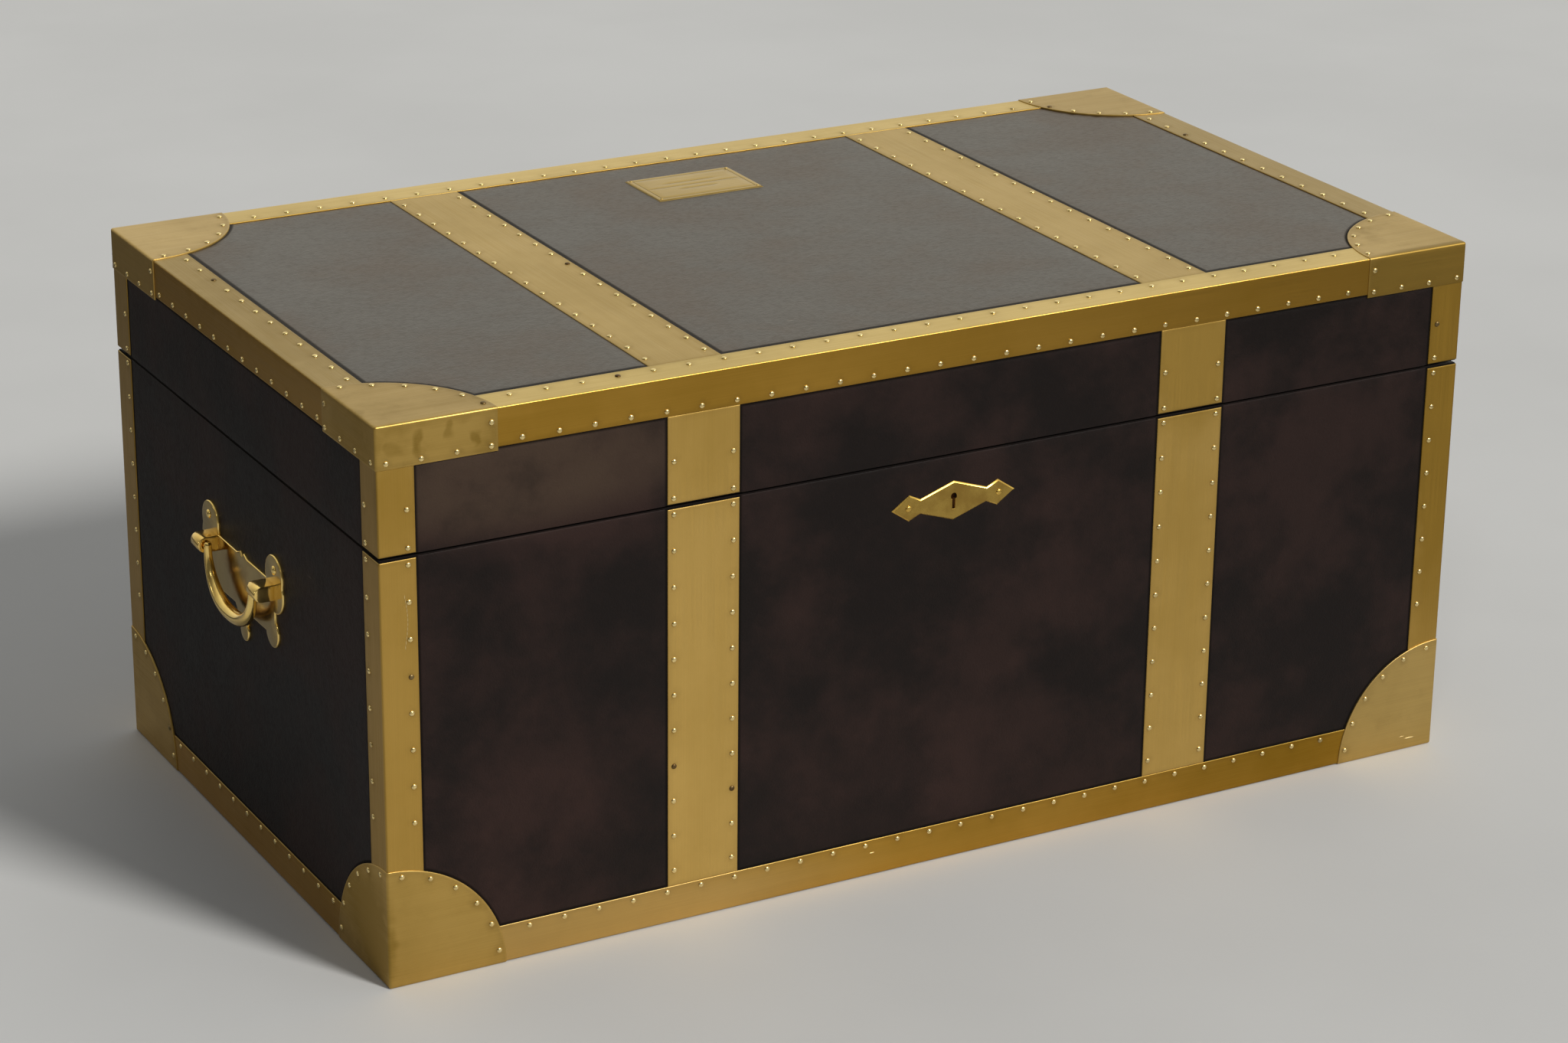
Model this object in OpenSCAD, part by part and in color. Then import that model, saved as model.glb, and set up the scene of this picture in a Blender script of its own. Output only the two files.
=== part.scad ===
// Brass-bound leather storage chest: a boarded carcass and lid, covered with leather and
// edged with brass. Millimetres, X to the right, Y to the back, Z up. The origin is on the
// floor under the middle of the chest.

/* [Chest] */
// Width over the brass, without the handles
chest_w = 1080; // [900:10:1300]
// Depth over the brass
chest_d = 600; // [480:10:760]
// Height over the brass
chest_h = 500; // [440:10:640]
// Height of the lid, from the middle of the seam to the top
lid_h = 115; // [95:5:150]
// Gap between the boards of the lid and the base
seam_gap = 2.5; // [2.4:0.1:3.2]

/* [Boards and leather] */
// Thickness of the upright boards
wall_t = 14; // [12:1:20]
// Thickness of the top board
top_t = 12; // [9:1:20]
// Thickness of the floor board
floor_t = 12; // [9:1:20]
// Thickness of the leather
leather_t = 1.2; // [0.8:0.1:2.5]

/* [Brass strips] */
// Width of the bands along the top and bottom edges
band_w = 35; // [25:1:45]
// Width of the corner angles on each face
post_w = 34; // [25:1:45]
// Thickness of the bands and the corner angles
band_t = 1; // [0.8:0.1:1.6]
// Width of the flat straps
strap_w = 68; // [40:1:90]
// Distance of each strap from the middle
strap_x = 244; // [160:2:300]
// Thickness of the straps
strap_t = 0.8; // [0.5:0.1:0.8]
// Distance of the straps and corner angles from the edge of the seam
strap_back = 2; // [1:0.5:4]

/* [Corner caps] */
// Radius of the round corner plates
cap_r = 108; // [70:1:130]
// Height of the lid caps on the upright faces
cap_flap_h = 38; // [36:1:48]
// How far the caps stand over the bands
cap_t = 0.9; // [0.6:0.1:1.4]

/* [Nails] */
// Radius of a nail's domed head
nail_r = 2.5; // [1.5:0.1:3.5]
// Height of a nail's head
nail_h = 1.3; // [0.8:0.1:2]
// Radius of a nail's shank
nail_shank_r = 0.8; // [0.5:0.1:1.2]
// Length of a nail's shank
nail_shank_l = 8; // [6:0.5:10]
// Distance between nails in a row
nail_pitch = 32.8; // [24:0.2:50]
// Distance of a row from the edge of its strip
nail_edge = 5; // [4:0.5:8]

/* [Lock] */
// Distance of the keyhole under the seam
keyhole_under_seam = 38; // [35:1:39]
// Radius of the round part of the keyhole
keyhole_r = 3; // [2.5:0.1:4]
// Depth of the keyhole's slot under its centre
keyhole_drop = 11.5; // [9:0.5:14]
// Width of the keyhole's slot
keyhole_slot = 3; // [2:0.5:4]
// Half length of the keyhole plate
escutcheon_l = 62; // [56:1:80]
// Half height of the keyhole plate
escutcheon_h = 18; // [16:0.5:26]
// Thickness of the keyhole plate
escutcheon_t = 1.8; // [1.2:0.1:2.5]
// Thickness of the lock's sheet metal
lock_sheet = 1.5; // [1:0.1:2]
// Half width of the lock's box
lock_half_w = 42; // [41:1:48]
// Depth of the lock's box, over its sheet metal
lock_depth = 16; // [15:0.5:20]
// Travel of the lock's bolt
bolt_travel = 8; // [7:0.5:9]

/* [Name plate] */
// Width of the plate on the lid
plate_w = 110; // [70:1:140]
// Depth of the plate on the lid
plate_d = 72; // [40:1:90]
// Thickness of the plate on the lid
plate_t = 1.5; // [1:0.1:2.5]
// Distance of the plate from the middle of the lid, towards the back
plate_y = 185; // [140:1:195]

/* [Handles] */
// Distance of the handle's pivot under the seam
handle_under_seam = 108; // [85:1:180]
// Distance of the pivot from the leather
handle_out = 14; // [12:0.5:18]
// Thickness of the handle's back plate
handle_plate_t = 3; // [2:0.5:4]
// Distance of the bail's arms from the middle
bail_half_w = 52; // [48:1:60]
// Drop of the bail's grip under its pivot
bail_drop = 45; // [36:1:60]
// Radius of the bail's pins
bail_pin_r = 3; // [2.5:0.1:4]
// Radius of the bail in the middle of its grip
bail_grip_r = 6.5; // [5:0.1:8]
// Half height of the knuckles that hold the bail
lug_r = 7.5; // [6:0.1:9]
// Length of each knuckle
lug_l = 19; // [15:1:24]

/* [Hinges] */
// Distance of the outer hinges from the middle
hinge_x = 390; // [320:5:480]
// Length of a hinge
hinge_l = 64; // [50:2:90]
// Distance of the hinge pin behind the brass
hinge_out = 2.5; // [2:0.1:4]
// Outer radius of the hinge knuckles
knuckle_r = 3.6; // [3.4:0.1:4]
// Radius of the hinge pins
hinge_pin_r = 1.8; // [1.5:0.1:2.2]
// Thickness of the hinge leaves
leaf_t = 1; // [0.8:0.05:1]

/* [Lid stays] */
// Length of each link between its pivots
stay_l = 180; // [140:5:200]
// Half of the angle between the two links when the lid is shut
stay_angle = 10; // [8:1:14]
// Width of the links
stay_w = 16; // [14:1:20]
// Thickness of the links
stay_t = 2.5; // [2:0.5:3]
// Radius of the stays' pivot pins
stay_pin_r = 3; // [2.5:0.1:4]

/* [Fits] */
// Radial clearance of a pin that turns in its bore
running_gap = 0.05; // [0.03:0.01:0.1]
// Gap between pieces that pass each other
side_gap = 0.4; // [0.3:0.05:0.5]

/* [Hidden] */
$fn = 48;
seam_z = chest_h - lid_h;
base_top = seam_z - seam_gap / 2;
keyhole_z = seam_z - keyhole_under_seam;
handle_z = seam_z - handle_under_seam;
lid_bottom = seam_z + seam_gap / 2;
skin = cap_t + band_t; // depth of the leather's face under the outermost brass
board_in = skin + leather_t; // depth of the boards' outer face
inner_w = chest_w / 2 - board_in - wall_t; // half width inside the boards
inner_d = chest_d / 2 - board_in - wall_t; // half depth inside the boards
strap_top_z = base_top - strap_back; // upper end of the base's straps and corner angles
strip_joint = 0.2; // gap between the ends of strips under a cap
strap_low_z = lid_bottom + strap_back; // lower end of the lid's straps and corner angles
cut = 1; // how far a cutting shape runs past the face that it cuts

// Nail rows
cap_nails = 6;
cap_nail_r = cap_r - nail_edge - cap_t;
row_clear = 8;
flap_steps = 3;

// Keyhole plate: small diamonds at the ends of a large one
end_diamond_l = 17.5; // half length of a small diamond
end_diamond_h = 12;
end_diamond_x = escutcheon_l - end_diamond_l;
neck_in = 28.7; // from the plate's end to its neck
neck_x = escutcheon_l - neck_in;
neck_h = 6.7;
escutcheon_drop = 4; // from the keyhole's centre to the plate's
escutcheon_z = keyhole_z - escutcheon_drop;
escutcheon_pin_r = 3;

// Lock
lock_under = 31; // the box below the keyhole
lock_over = 33; // the box above the keyhole
lock_top_gap = 3.5; // at least this far under the top of the front board
lock_low = keyhole_z - lock_under;
lock_high = min(base_top - lock_top_gap, keyhole_z + lock_over);
lock_flange = 13;
lock_y0 = -inner_d; // inner face of the front board
lock_cav0 = lock_y0 + lock_sheet;
lock_cav1 = lock_y0 + lock_depth - lock_sheet;
lock_mid_y = (lock_cav0 + lock_cav1) / 2;
lock_room = 0.3;
bar_low = keyhole_z + 5;
bar_h = 7;
rail_h = 2;
rail_in = 16;
finger_low = bar_low + 14;
finger_h = 8;
finger_y = 4;
finger_leg = 4;
finger_l = finger_leg + bolt_travel;
finger_x = [-38, 2];
bar_end = 22;
loop_gap = 2; // from a finger's tip to its loop at rest
loop_t = 3;
loop_wall = 2.5;
loop_y = 10;
loop_clear = 0.5;
strike_half_w = 35;
strike_h = 24;
strike_t = 1.5;

// Fitting screws, countersunk
screw_r = 1.6;
screw_head_r = 3;
screw_head_h = 1;
screw_l = 9;
screw_gap = 0.1;

// Handles: places on the plate are heights from the pivot and distances from the middle
bail_arm_r = bail_pin_r + 0.6;
lug_in = bail_half_w + bail_arm_r + side_gap;
lug_mid = lug_in + lug_l / 2;
ear_x = lug_mid + 8;
ear_r = 19;
ear_rise = 15;
lobe_x = lug_mid;
lobe_drop = 40;
lobe_r = 14;
web_top = 8;
web_low = 43;
drop_low = 63;
drop_r = 9.5;
bail_pin_l = lug_l - 4;
bail_ends = [[4.2, 0.5], [3, 0.88]]; // rings above the pivot: height, part of the arm's radius
bail_rings = 28;
bail_sides = 12;
bail_power = 2.3; // 2 would be a plain half ellipse
handle_screw_r = 1.8;
handle_screw_head = 4.2;
handle_screw_x = ear_x + 1;
handle_screw_rise = 21;

// Hinges
hinge_y = chest_d / 2 + hinge_out;
leaf_end_y = hinge_y - knuckle_r - side_gap;
knuckles = 5;
knuckle_l = hinge_l / knuckles;
hinge_places = [-hinge_x, 0, hinge_x];
leaf_screws = 3;

// Lid stays, built on the left side: depths are from the inner face of the side boards
stay_plate_t = 2;
lower_link_in = stay_plate_t + 1;
upper_link_in = lower_link_in + stay_t + 0.5;
stay_head_t = 1.2;
stay_head_r = 5;
stay_plate_w = 26;
stay_plate_h = 46;
stay_low = [hinge_y - stay_l * cos(stay_angle), seam_z - stay_l * sin(stay_angle)];
stay_high = [stay_low[0], seam_z + stay_l * sin(stay_angle)];
stay_elbow = [stay_low[0] - (hinge_y - stay_low[0]), seam_z];
stay_screw_z = 17;
open_pivot_gap = 0.4; // the last pivot of the linkage has this clearance all round

// Places

// Draws what is at the left again at the right
module both_sides() {
    children();
    mirror([1, 0, 0]) children();
}

// Draws what is at the front again at the back
module both_faces() {
    children();
    mirror([0, 1, 0]) children();
}

// Draws what is at the front left corner at all four corners
module four_corners() {
    both_sides() both_faces() children();
}

// Turns a drawing of X across, Y up and Z outwards onto the front face, depth 0 at the brass
module on_front() {
    translate([0, -chest_d / 2, 0]) rotate([90, 0, 0]) children();
}

// The same for the left side: X runs towards the front
module on_left() {
    translate([-chest_w / 2, 0, 0]) rotate([90, 0, -90]) children();
}

// The same for the top
module on_top() {
    translate([0, 0, chest_h]) children();
}

// A box from its lowest to its highest corner
module block(low, high) {
    translate(low) cube(high - low);
}

// Nail rows: places along a line

// A row centred on the middle of a free length
function middle_row(free) =
    let (n = round(free / nail_pitch))
    [for (k = [0 : n - 1]) (k - (n - 1) / 2) * nail_pitch];

// A row that starts at one end of a strip and stops short of the other
function end_row(start, stop) =
    let (way = sign(stop - start))
    let (first = start + way * (nail_edge - 1))
    let (n = floor((abs(stop - first) - row_clear) / nail_pitch) + 1)
    [for (k = [0 : n - 1]) first + way * k * nail_pitch];

// Boards

module base_front_board() {
    color("saddlebrown") difference() {
        block([-inner_w - wall_t, -inner_d - wall_t, skin], [inner_w + wall_t, -inner_d, base_top]);
        keyhole_cut(keyhole_r + 1.5, keyhole_slot + 2, keyhole_drop + 2);
    }
}

module base_back_board() {
    color("saddlebrown")
        block([-inner_w - wall_t, inner_d, skin], [inner_w + wall_t, inner_d + wall_t, base_top]);
}

module base_left_board() {
    color("saddlebrown") block([-inner_w - wall_t, -inner_d, skin], [-inner_w, inner_d, base_top]);
}

module base_right_board() {
    mirror([1, 0, 0]) base_left_board();
}

module base_floor_board() {
    color("peru") block([-inner_w, -inner_d, skin], [inner_w, inner_d, skin + floor_t]);
}

lid_wall_top = chest_h - board_in - top_t;

module lid_top_board() {
    color("saddlebrown")
        block([-inner_w - wall_t, -inner_d - wall_t, lid_wall_top],
              [inner_w + wall_t, inner_d + wall_t, chest_h - board_in]);
}

module lid_front_board() {
    color("saddlebrown")
        block([-inner_w - wall_t, -inner_d - wall_t, lid_bottom],
              [inner_w + wall_t, -inner_d, lid_wall_top]);
}

module lid_back_board() {
    mirror([0, 1, 0]) lid_front_board();
}

module lid_left_board() {
    color("saddlebrown")
        block([-inner_w - wall_t, -inner_d, lid_bottom], [-inner_w, inner_d, lid_wall_top]);
}

module lid_right_board() {
    mirror([1, 0, 0]) lid_left_board();
}

// Leather

// A sheet on the front of the base or lid, over the whole width
module front_sheet(low, high) {
    block([-chest_w / 2 + skin, -chest_d / 2 + skin, low],
          [chest_w / 2 - skin, -chest_d / 2 + board_in, high]);
}

// A sheet on the left side, between the front and back sheets
module left_sheet(low, high) {
    block([-chest_w / 2 + skin, -chest_d / 2 + board_in, low],
          [-chest_w / 2 + board_in, chest_d / 2 - board_in, high]);
}

module base_front_leather() {
    color([0.17, 0.13, 0.13]) difference() {
        front_sheet(skin, base_top);
        keyhole_cut(keyhole_r + 1, keyhole_slot + 1, keyhole_drop + 1);
    }
}

module base_back_leather() {
    color([0.17, 0.13, 0.13]) mirror([0, 1, 0]) front_sheet(skin, base_top);
}

module base_left_leather() {
    color([0.14, 0.12, 0.11]) left_sheet(skin, base_top);
}

module base_right_leather() {
    mirror([1, 0, 0]) base_left_leather();
}

module lid_top_leather() {
    color([0.41, 0.39, 0.36])
        block([-chest_w / 2 + skin, -chest_d / 2 + skin, chest_h - board_in],
              [chest_w / 2 - skin, chest_d / 2 - skin, chest_h - skin]);
}

module lid_front_leather() {
    color([0.17, 0.13, 0.13]) front_sheet(lid_bottom, chest_h - board_in);
}

module lid_back_leather() {
    mirror([0, 1, 0]) lid_front_leather();
}

module lid_left_leather() {
    color([0.14, 0.12, 0.11]) left_sheet(lid_bottom, chest_h - board_in);
}

module lid_right_leather() {
    mirror([1, 0, 0]) lid_left_leather();
}

// Brass strips

// The section of an angle strip, its heel at the origin
module angle_section(leg) {
    polygon([[0, 0], [leg, 0], [leg, band_t], [band_t, band_t], [band_t, leg], [0, leg]]);
}

// An angle strip up the front left corner
module corner_angle(low, high) {
    translate([-chest_w / 2 + cap_t, -chest_d / 2 + cap_t, low])
        linear_extrude(high - low) angle_section(post_w - cap_t);
}

// The bands round the bottom edge: front and back run through, the sides fit between them
// with a gap at each joint, which the corner caps cover
module edge_bands(joint) {
    leg = band_w - cap_t;
    long = chest_w - 2 * cap_t;
    short = chest_d - 2 * skin - 2 * joint;
    both_faces() translate([-long / 2, -chest_d / 2 + cap_t, cap_t])
        rotate([90, 0, 90]) linear_extrude(long) angle_section(leg);
    both_sides() difference() {
        translate([-chest_w / 2 + cap_t, short / 2, cap_t])
            rotate([90, 0, 0]) linear_extrude(short) angle_section(leg);
        both_faces() block([-chest_w / 2 - cut, -chest_d / 2, 0],
                           [-chest_w / 2 + band_w + cut, -chest_d / 2 + band_w + joint, skin + joint]);
    }
}

// A pair of straps on the front face
module front_straps(low, high) {
    for (side = [-1, 1])
        block([side * strap_x - strap_w / 2, -chest_d / 2 + skin - strap_t, low],
              [side * strap_x + strap_w / 2, -chest_d / 2 + skin, high]);
}

module base_bottom_bands() {
    color("goldenrod") edge_bands(strip_joint);
}

module base_corner_angles() {
    color("darkgoldenrod") four_corners() corner_angle(band_w, strap_top_z);
}

module base_straps() {
    color("goldenrod") both_faces() front_straps(band_w, strap_top_z);
}

module lid_top_bands() {
    color("goldenrod") translate([0, 0, chest_h]) mirror([0, 0, 1]) edge_bands(strip_joint);
}

module lid_corner_angles() {
    color("darkgoldenrod") four_corners() corner_angle(strap_low_z, chest_h - band_w);
}

module lid_face_straps() {
    color("goldenrod") both_faces() front_straps(strap_low_z, chest_h - band_w);
}

module lid_top_straps() {
    color("goldenrod") for (side = [-1, 1])
        block([side * strap_x - strap_w / 2, -chest_d / 2 + band_w, chest_h - skin],
              [side * strap_x + strap_w / 2, chest_d / 2 - band_w, chest_h - skin + strap_t]);
}

// Corner caps: drawn with the corner at the origin and the chest at positive X, Y and Z

// A quarter disc of the caps' radius, as thick as the brass stands over the leather
module quarter_plate() {
    linear_extrude(skin) intersection() {
        circle(cap_r, $fn = 96);
        square(cap_r);
    }
}

// Round plates on the two upright faces and the underside
module round_cap() {
    quarter_plate();
    translate([0, skin, 0]) rotate([90, 0, 0]) quarter_plate();
    rotate([90, 0, 90]) quarter_plate();
}

// A round plate on the top with straight flaps on the upright faces
module flap_cap() {
    quarter_plate();
    cube([cap_r, skin, cap_flap_h]);
    cube([skin, cap_r, cap_flap_h]);
}

module base_corner_caps() {
    color("darkgoldenrod") four_corners() difference() {
        translate([-chest_w / 2, -chest_d / 2, 0]) round_cap();
        edge_bands(0);
        corner_angle(band_w, strap_top_z);
    }
}

module lid_corner_caps() {
    color("darkgoldenrod") four_corners() difference() {
        translate([-chest_w / 2, -chest_d / 2, chest_h]) mirror([0, 0, 1]) flap_cap();
        translate([0, 0, chest_h]) mirror([0, 0, 1]) edge_bands(0);
        corner_angle(strap_low_z, chest_h - band_w);
    }
}

// Nails

// A nail with its head's seat at Z = 0 and its shank below
module domed_nail(head_r, head_h, shank_r, shank_l) {
    rotate_extrude($fn = 24) polygon([
        [0, -shank_l], [shank_r, -shank_l], [shank_r, 0], [head_r, 0],
        [head_r * 0.87, head_h * 0.5], [head_r * 0.5, head_h * 0.87], [0, head_h]
    ]);
}

module nail(depth) {
    translate([0, 0, -depth]) domed_nail(nail_r, nail_h, nail_shank_r, nail_shank_l);
}

// Nails at the places of a face: [across, up, depth of the seat under the caps' face]
module nails_at(places) {
    for (p = places) translate([p[0], p[1], 0]) nail(p[2]);
}

function mirrored(places) = concat(places, [for (p = places) [-p[0], p[1], p[2]]]);

// A nail row near each long edge of the straps
function strap_nails(rows) = [
    for (side = [-1, 1], edge = [-1, 1], v = rows)
        [side * strap_x + edge * (strap_w / 2 - nail_edge - 1), v, skin - strap_t]
];

// A nail row along a band, which is straight across the face
function band_nails(row, v) = [for (u = row) [u, v, cap_t]];

// The nail rows of the corner angles on a face of this half width
function post_nails(half, rows) =
    mirrored([for (v = rows) [-half + post_w - nail_edge - 2, v, cap_t]]);

// The arc of nails of two round plates whose corners are at the ends of the line V = 0
function arc_nails(half) = mirrored([
    for (k = [0 : cap_nails - 1])
        let (angle = (k + 0.5) * 90 / cap_nails)
        [-half + cap_nail_r * cos(angle), cap_nail_r * sin(angle), 0]
]);

// The nails of the straight flaps of the lid's caps
function flap_nails(half) = let (pitch = (cap_nail_r - 9) / flap_steps) mirrored(concat(
    [for (k = [0 : flap_steps]) [-half + 9 + k * pitch, chest_h - cap_flap_h + nail_edge, 0]],
    [[-half + cap_nail_r, chest_h - cap_flap_h / 3, 0]]
));

base_rows = end_row(strap_top_z, band_w);
base_post_rows = end_row(strap_top_z, cap_r);
lid_rows = end_row(strap_low_z, chest_h - band_w);
lid_post_rows = end_row(strap_low_z, chest_h - cap_flap_h);
long_row = middle_row(chest_w - 2 * cap_r);
short_row = middle_row(chest_d - 2 * cap_r);

// The nails that every base face has
function base_face_nails(half, row) =
    concat(band_nails(row, band_w - nail_edge), post_nails(half, base_post_rows), arc_nails(half));

// The nails that every lid face has
function lid_rim_nails(half, row) =
    concat(band_nails(row, chest_h - band_w + nail_edge), post_nails(half, lid_post_rows),
           flap_nails(half));

module base_front_nails() {
    color("gold") on_front()
        nails_at(concat(base_face_nails(chest_w / 2, long_row), strap_nails(base_rows)));
}

module base_back_nails() {
    mirror([0, 1, 0]) base_front_nails();
}

module base_side_nails() {
    color("gold") both_sides() on_left() nails_at(base_face_nails(chest_d / 2, short_row));
}

module lid_front_nails() {
    color("gold") on_front()
        nails_at(concat(lid_rim_nails(chest_w / 2, long_row), strap_nails(lid_rows)));
}

module lid_back_nails() {
    mirror([0, 1, 0]) lid_front_nails();
}

module lid_side_nails() {
    color("gold") both_sides() on_left() nails_at(lid_rim_nails(chest_d / 2, short_row));
}

module lid_top_nails() {
    band_row_y = chest_d / 2 - band_w + nail_edge + 5;
    band_row_x = chest_w / 2 - band_w + nail_edge + 2.5;
    corners = [for (p = arc_nails(chest_w / 2)) [p[0], p[1] - chest_d / 2, p[2]]];
    color("gold") on_top() nails_at(concat(
        band_nails(long_row, band_row_y),
        band_nails(long_row, -band_row_y),
        mirrored([for (v = short_row) [band_row_x, v, cap_t]]),
        strap_nails(middle_row(chest_d - 2 * band_w)),
        corners,
        [for (p = corners) [p[0], -p[1], p[2]]]
    ));
}

// Name plate

module name_plate() {
    color("burlywood")
        block([-plate_w / 2, plate_y - plate_d / 2, chest_h - skin],
              [plate_w / 2, plate_y + plate_d / 2, chest_h - skin + plate_t]);
}

module name_plate_pins() {
    inset = 4;
    color("gold") for (sx = [-1, 1], sy = [-1, 1])
        translate([sx * (plate_w / 2 - inset), plate_y + sy * (plate_d / 2 - inset),
                   chest_h - skin + plate_t])
            domed_nail(1.4, 0.8, 0.6, nail_shank_l);
}

// Keyhole and its plate

// A cutting shape through the front, from ahead of the brass to the lock's cavity
module keyhole_cut(r, slot, drop) {
    on_front() translate([0, keyhole_z, -board_in - wall_t - lock_sheet - cut]) {
        depth = board_in + wall_t + lock_sheet + 2 * cut;
        cylinder(h = depth, r = r);
        translate([-slot / 2, -drop, 0]) cube([slot, drop, depth]);
    }
}

module lock_escutcheon() {
    right = [
        [0, escutcheon_h], [neck_x, neck_h], [end_diamond_x, end_diamond_h], [escutcheon_l, 0],
        [end_diamond_x, -end_diamond_h], [neck_x, -neck_h], [0, -escutcheon_h]
    ];
    left = [for (k = [5 : -1 : 1]) [-right[k][0], right[k][1]]];
    color("gold") difference() {
        on_front() translate([0, escutcheon_z, -skin])
            linear_extrude(escutcheon_t) polygon(concat(right, left));
        keyhole_cut(keyhole_r, keyhole_slot, keyhole_drop);
    }
}

module escutcheon_pins() {
    color("gold") on_front() for (side = [-1, 1])
        translate([side * (end_diamond_x + 1), escutcheon_z, escutcheon_t - skin])
            domed_nail(escutcheon_pin_r, nail_h, 1, nail_shank_l);
}

// Fitting screws

// A countersunk screw whose flat head lies at Z = 0 and whose point is below
module fitting_screw() {
    translate([0, 0, -screw_head_h]) cylinder(h = screw_head_h, r1 = screw_r, r2 = screw_head_r);
    translate([0, 0, -screw_l]) cylinder(h = screw_l - screw_head_h + 0.01, r = screw_r);
}

// The hole for it through a sheet whose face is at Z = 0
module screw_hole(sheet) {
    translate([0, 0, -screw_head_h])
        cylinder(h = screw_head_h + 0.01, r1 = screw_r + screw_gap, r2 = screw_head_r + screw_gap);
    translate([0, 0, -sheet - cut]) cylinder(h = sheet + 2 * cut, r = screw_r + screw_gap);
}

// The screws of one hinge leaf, from the face of a leaf that looks up
module leaf_screw_places() {
    leaf_mid = (inner_d + leaf_end_y) / 2;
    for (hinge = hinge_places, k = [0 : leaf_screws - 1])
        translate([hinge + (k - (leaf_screws - 1) / 2) * hinge_l * 0.33,
                   leaf_mid + (k % 2 == 0 ? 2.2 : -2.2), 0])
            children();
}

// The lock's four screws, from the face of its flange towards the chest's inside
module lock_screw_places() {
    for (side = [-1, 1], v = [lock_low + 6, lock_high - 6])
        translate([side * (lock_half_w + lock_flange / 2), lock_y0 + lock_sheet, v])
            rotate([-90, 0, 0]) children();
}

module strike_screw_places() {
    for (k = [-1, 0, 1])
        translate([k * strike_half_w * 0.74, lock_y0 + strike_t, lid_bottom + strike_h - 7])
            rotate([-90, 0, 0]) children();
}

// The two screws of each stay bracket, which is centred on the height given
module bracket_screw_places(height) {
    for (v = [-1, 1])
        translate([-inner_w + stay_plate_t, stay_low[0], height + v * stay_screw_z])
            rotate([0, 90, 0]) children();
}

module base_fitting_screws() {
    color("darkgoldenrod") {
        translate([0, 0, base_top + leaf_t]) leaf_screw_places() fitting_screw();
        lock_screw_places() fitting_screw();
        both_sides() bracket_screw_places(stay_low[1]) fitting_screw();
    }
}

module lid_fitting_screws() {
    color("darkgoldenrod") {
        translate([0, 0, lid_bottom - leaf_t])
            leaf_screw_places() rotate([180, 0, 0]) fitting_screw();
        strike_screw_places() fitting_screw();
        both_sides() bracket_screw_places(stay_high[1]) fitting_screw();
    }
}

// Lock

module lock_case() {
    color("silver") difference() {
        union() {
            block([-lock_half_w - lock_flange, lock_y0, lock_low],
                  [lock_half_w + lock_flange, lock_y0 + lock_sheet, lock_high]);
            difference() {
                block([-lock_half_w, lock_y0, lock_low],
                      [lock_half_w, lock_y0 + lock_depth, lock_high]);
                block([-lock_half_w + lock_sheet, lock_cav0, lock_low + lock_sheet],
                      [lock_half_w - lock_sheet, lock_cav1, lock_high - lock_sheet]);
            }
            for (side = [-1, 1])
                translate([side * (rail_in + lock_half_w) / 2, lock_mid_y,
                           bar_low - lock_room - rail_h / 2])
                    cube([lock_half_w - rail_in, lock_depth - lock_sheet, rail_h], center = true);
        }
        for (x = finger_x)
            block([x + finger_l + loop_gap - 1.2, lock_cav0 + 0.2, lock_high - lock_sheet - cut],
                  [x + finger_l + loop_gap + loop_t + 1.2, lock_cav1 - 0.2, lock_high + cut]);
        keyhole_cut(keyhole_r + 1, keyhole_slot + 1, keyhole_drop + 1);
        lock_screw_places() screw_hole(lock_sheet);
    }
}

module lock_bolt() {
    half_y = (lock_cav1 - lock_cav0) / 2 - lock_room;
    color("goldenrod") difference() {
        union() {
            block([finger_x[0], lock_mid_y - half_y, bar_low],
                  [bar_end, lock_mid_y + half_y, bar_low + bar_h]);
            for (x = finger_x) {
                block([x, lock_mid_y - finger_y / 2, bar_low + bar_h / 2],
                      [x + finger_leg, lock_mid_y + finger_y / 2, finger_low + finger_h]);
                block([x, lock_mid_y - finger_y / 2, finger_low],
                      [x + finger_l, lock_mid_y + finger_y / 2, finger_low + finger_h]);
            }
        }
        block([-4, lock_mid_y - half_y - cut, bar_low - cut],
              [4, lock_mid_y + half_y + cut, bar_low + 2.5]);
    }
}

module lid_strike() {
    foot_low = lid_bottom - 0.8;
    color("goldenrod") difference() {
        union() {
            block([-strike_half_w, lock_y0, lid_bottom], [strike_half_w, lock_y0 + strike_t,
                                                          lid_bottom + strike_h]);
            block([-strike_half_w, lock_y0, foot_low],
                  [strike_half_w, lock_mid_y + loop_y / 2, foot_low + strike_t]);
            for (x = finger_x)
                block([x + finger_l + loop_gap, lock_mid_y - loop_y / 2, finger_low - 5],
                      [x + finger_l + loop_gap + loop_t, lock_mid_y + loop_y / 2, lid_bottom]);
        }
        for (x = finger_x)
            block([x + finger_l, lock_mid_y - loop_y / 2 + loop_wall, finger_low - 2 * loop_clear],
                  [x + finger_l + loop_gap + loop_t + cut, lock_mid_y + loop_y / 2 - loop_wall,
                   finger_low + finger_h + 2 * loop_clear]);
        strike_screw_places() screw_hole(strike_t);
    }
}

// Handles: drawn on the left side, X towards the front, Y up from the pivot, Z from the leather

module on_handle() {
    on_left() translate([0, handle_z, -skin]) children();
}

// One half of the batwing plate, at positive X
module half_wing() {
    translate([ear_x, ear_rise]) circle(ear_r);
    translate([ear_x + 0.5, 0]) circle(ear_r + 0.5);
    translate([lobe_x, -lobe_drop]) circle(lobe_r);
    difference() {
        translate([0, -web_low]) square([ear_x, web_low + web_top]);
        translate([ear_x + 20, -27]) circle(17);
    }
    polygon([[0, web_top], [4, web_top + 3], [14, web_top - 1], [0, -2]]);
    polygon([[0, -web_low + 2], [20, -web_low + 1], [7, -drop_low + 6], [0, -drop_low]]);
}

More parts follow.
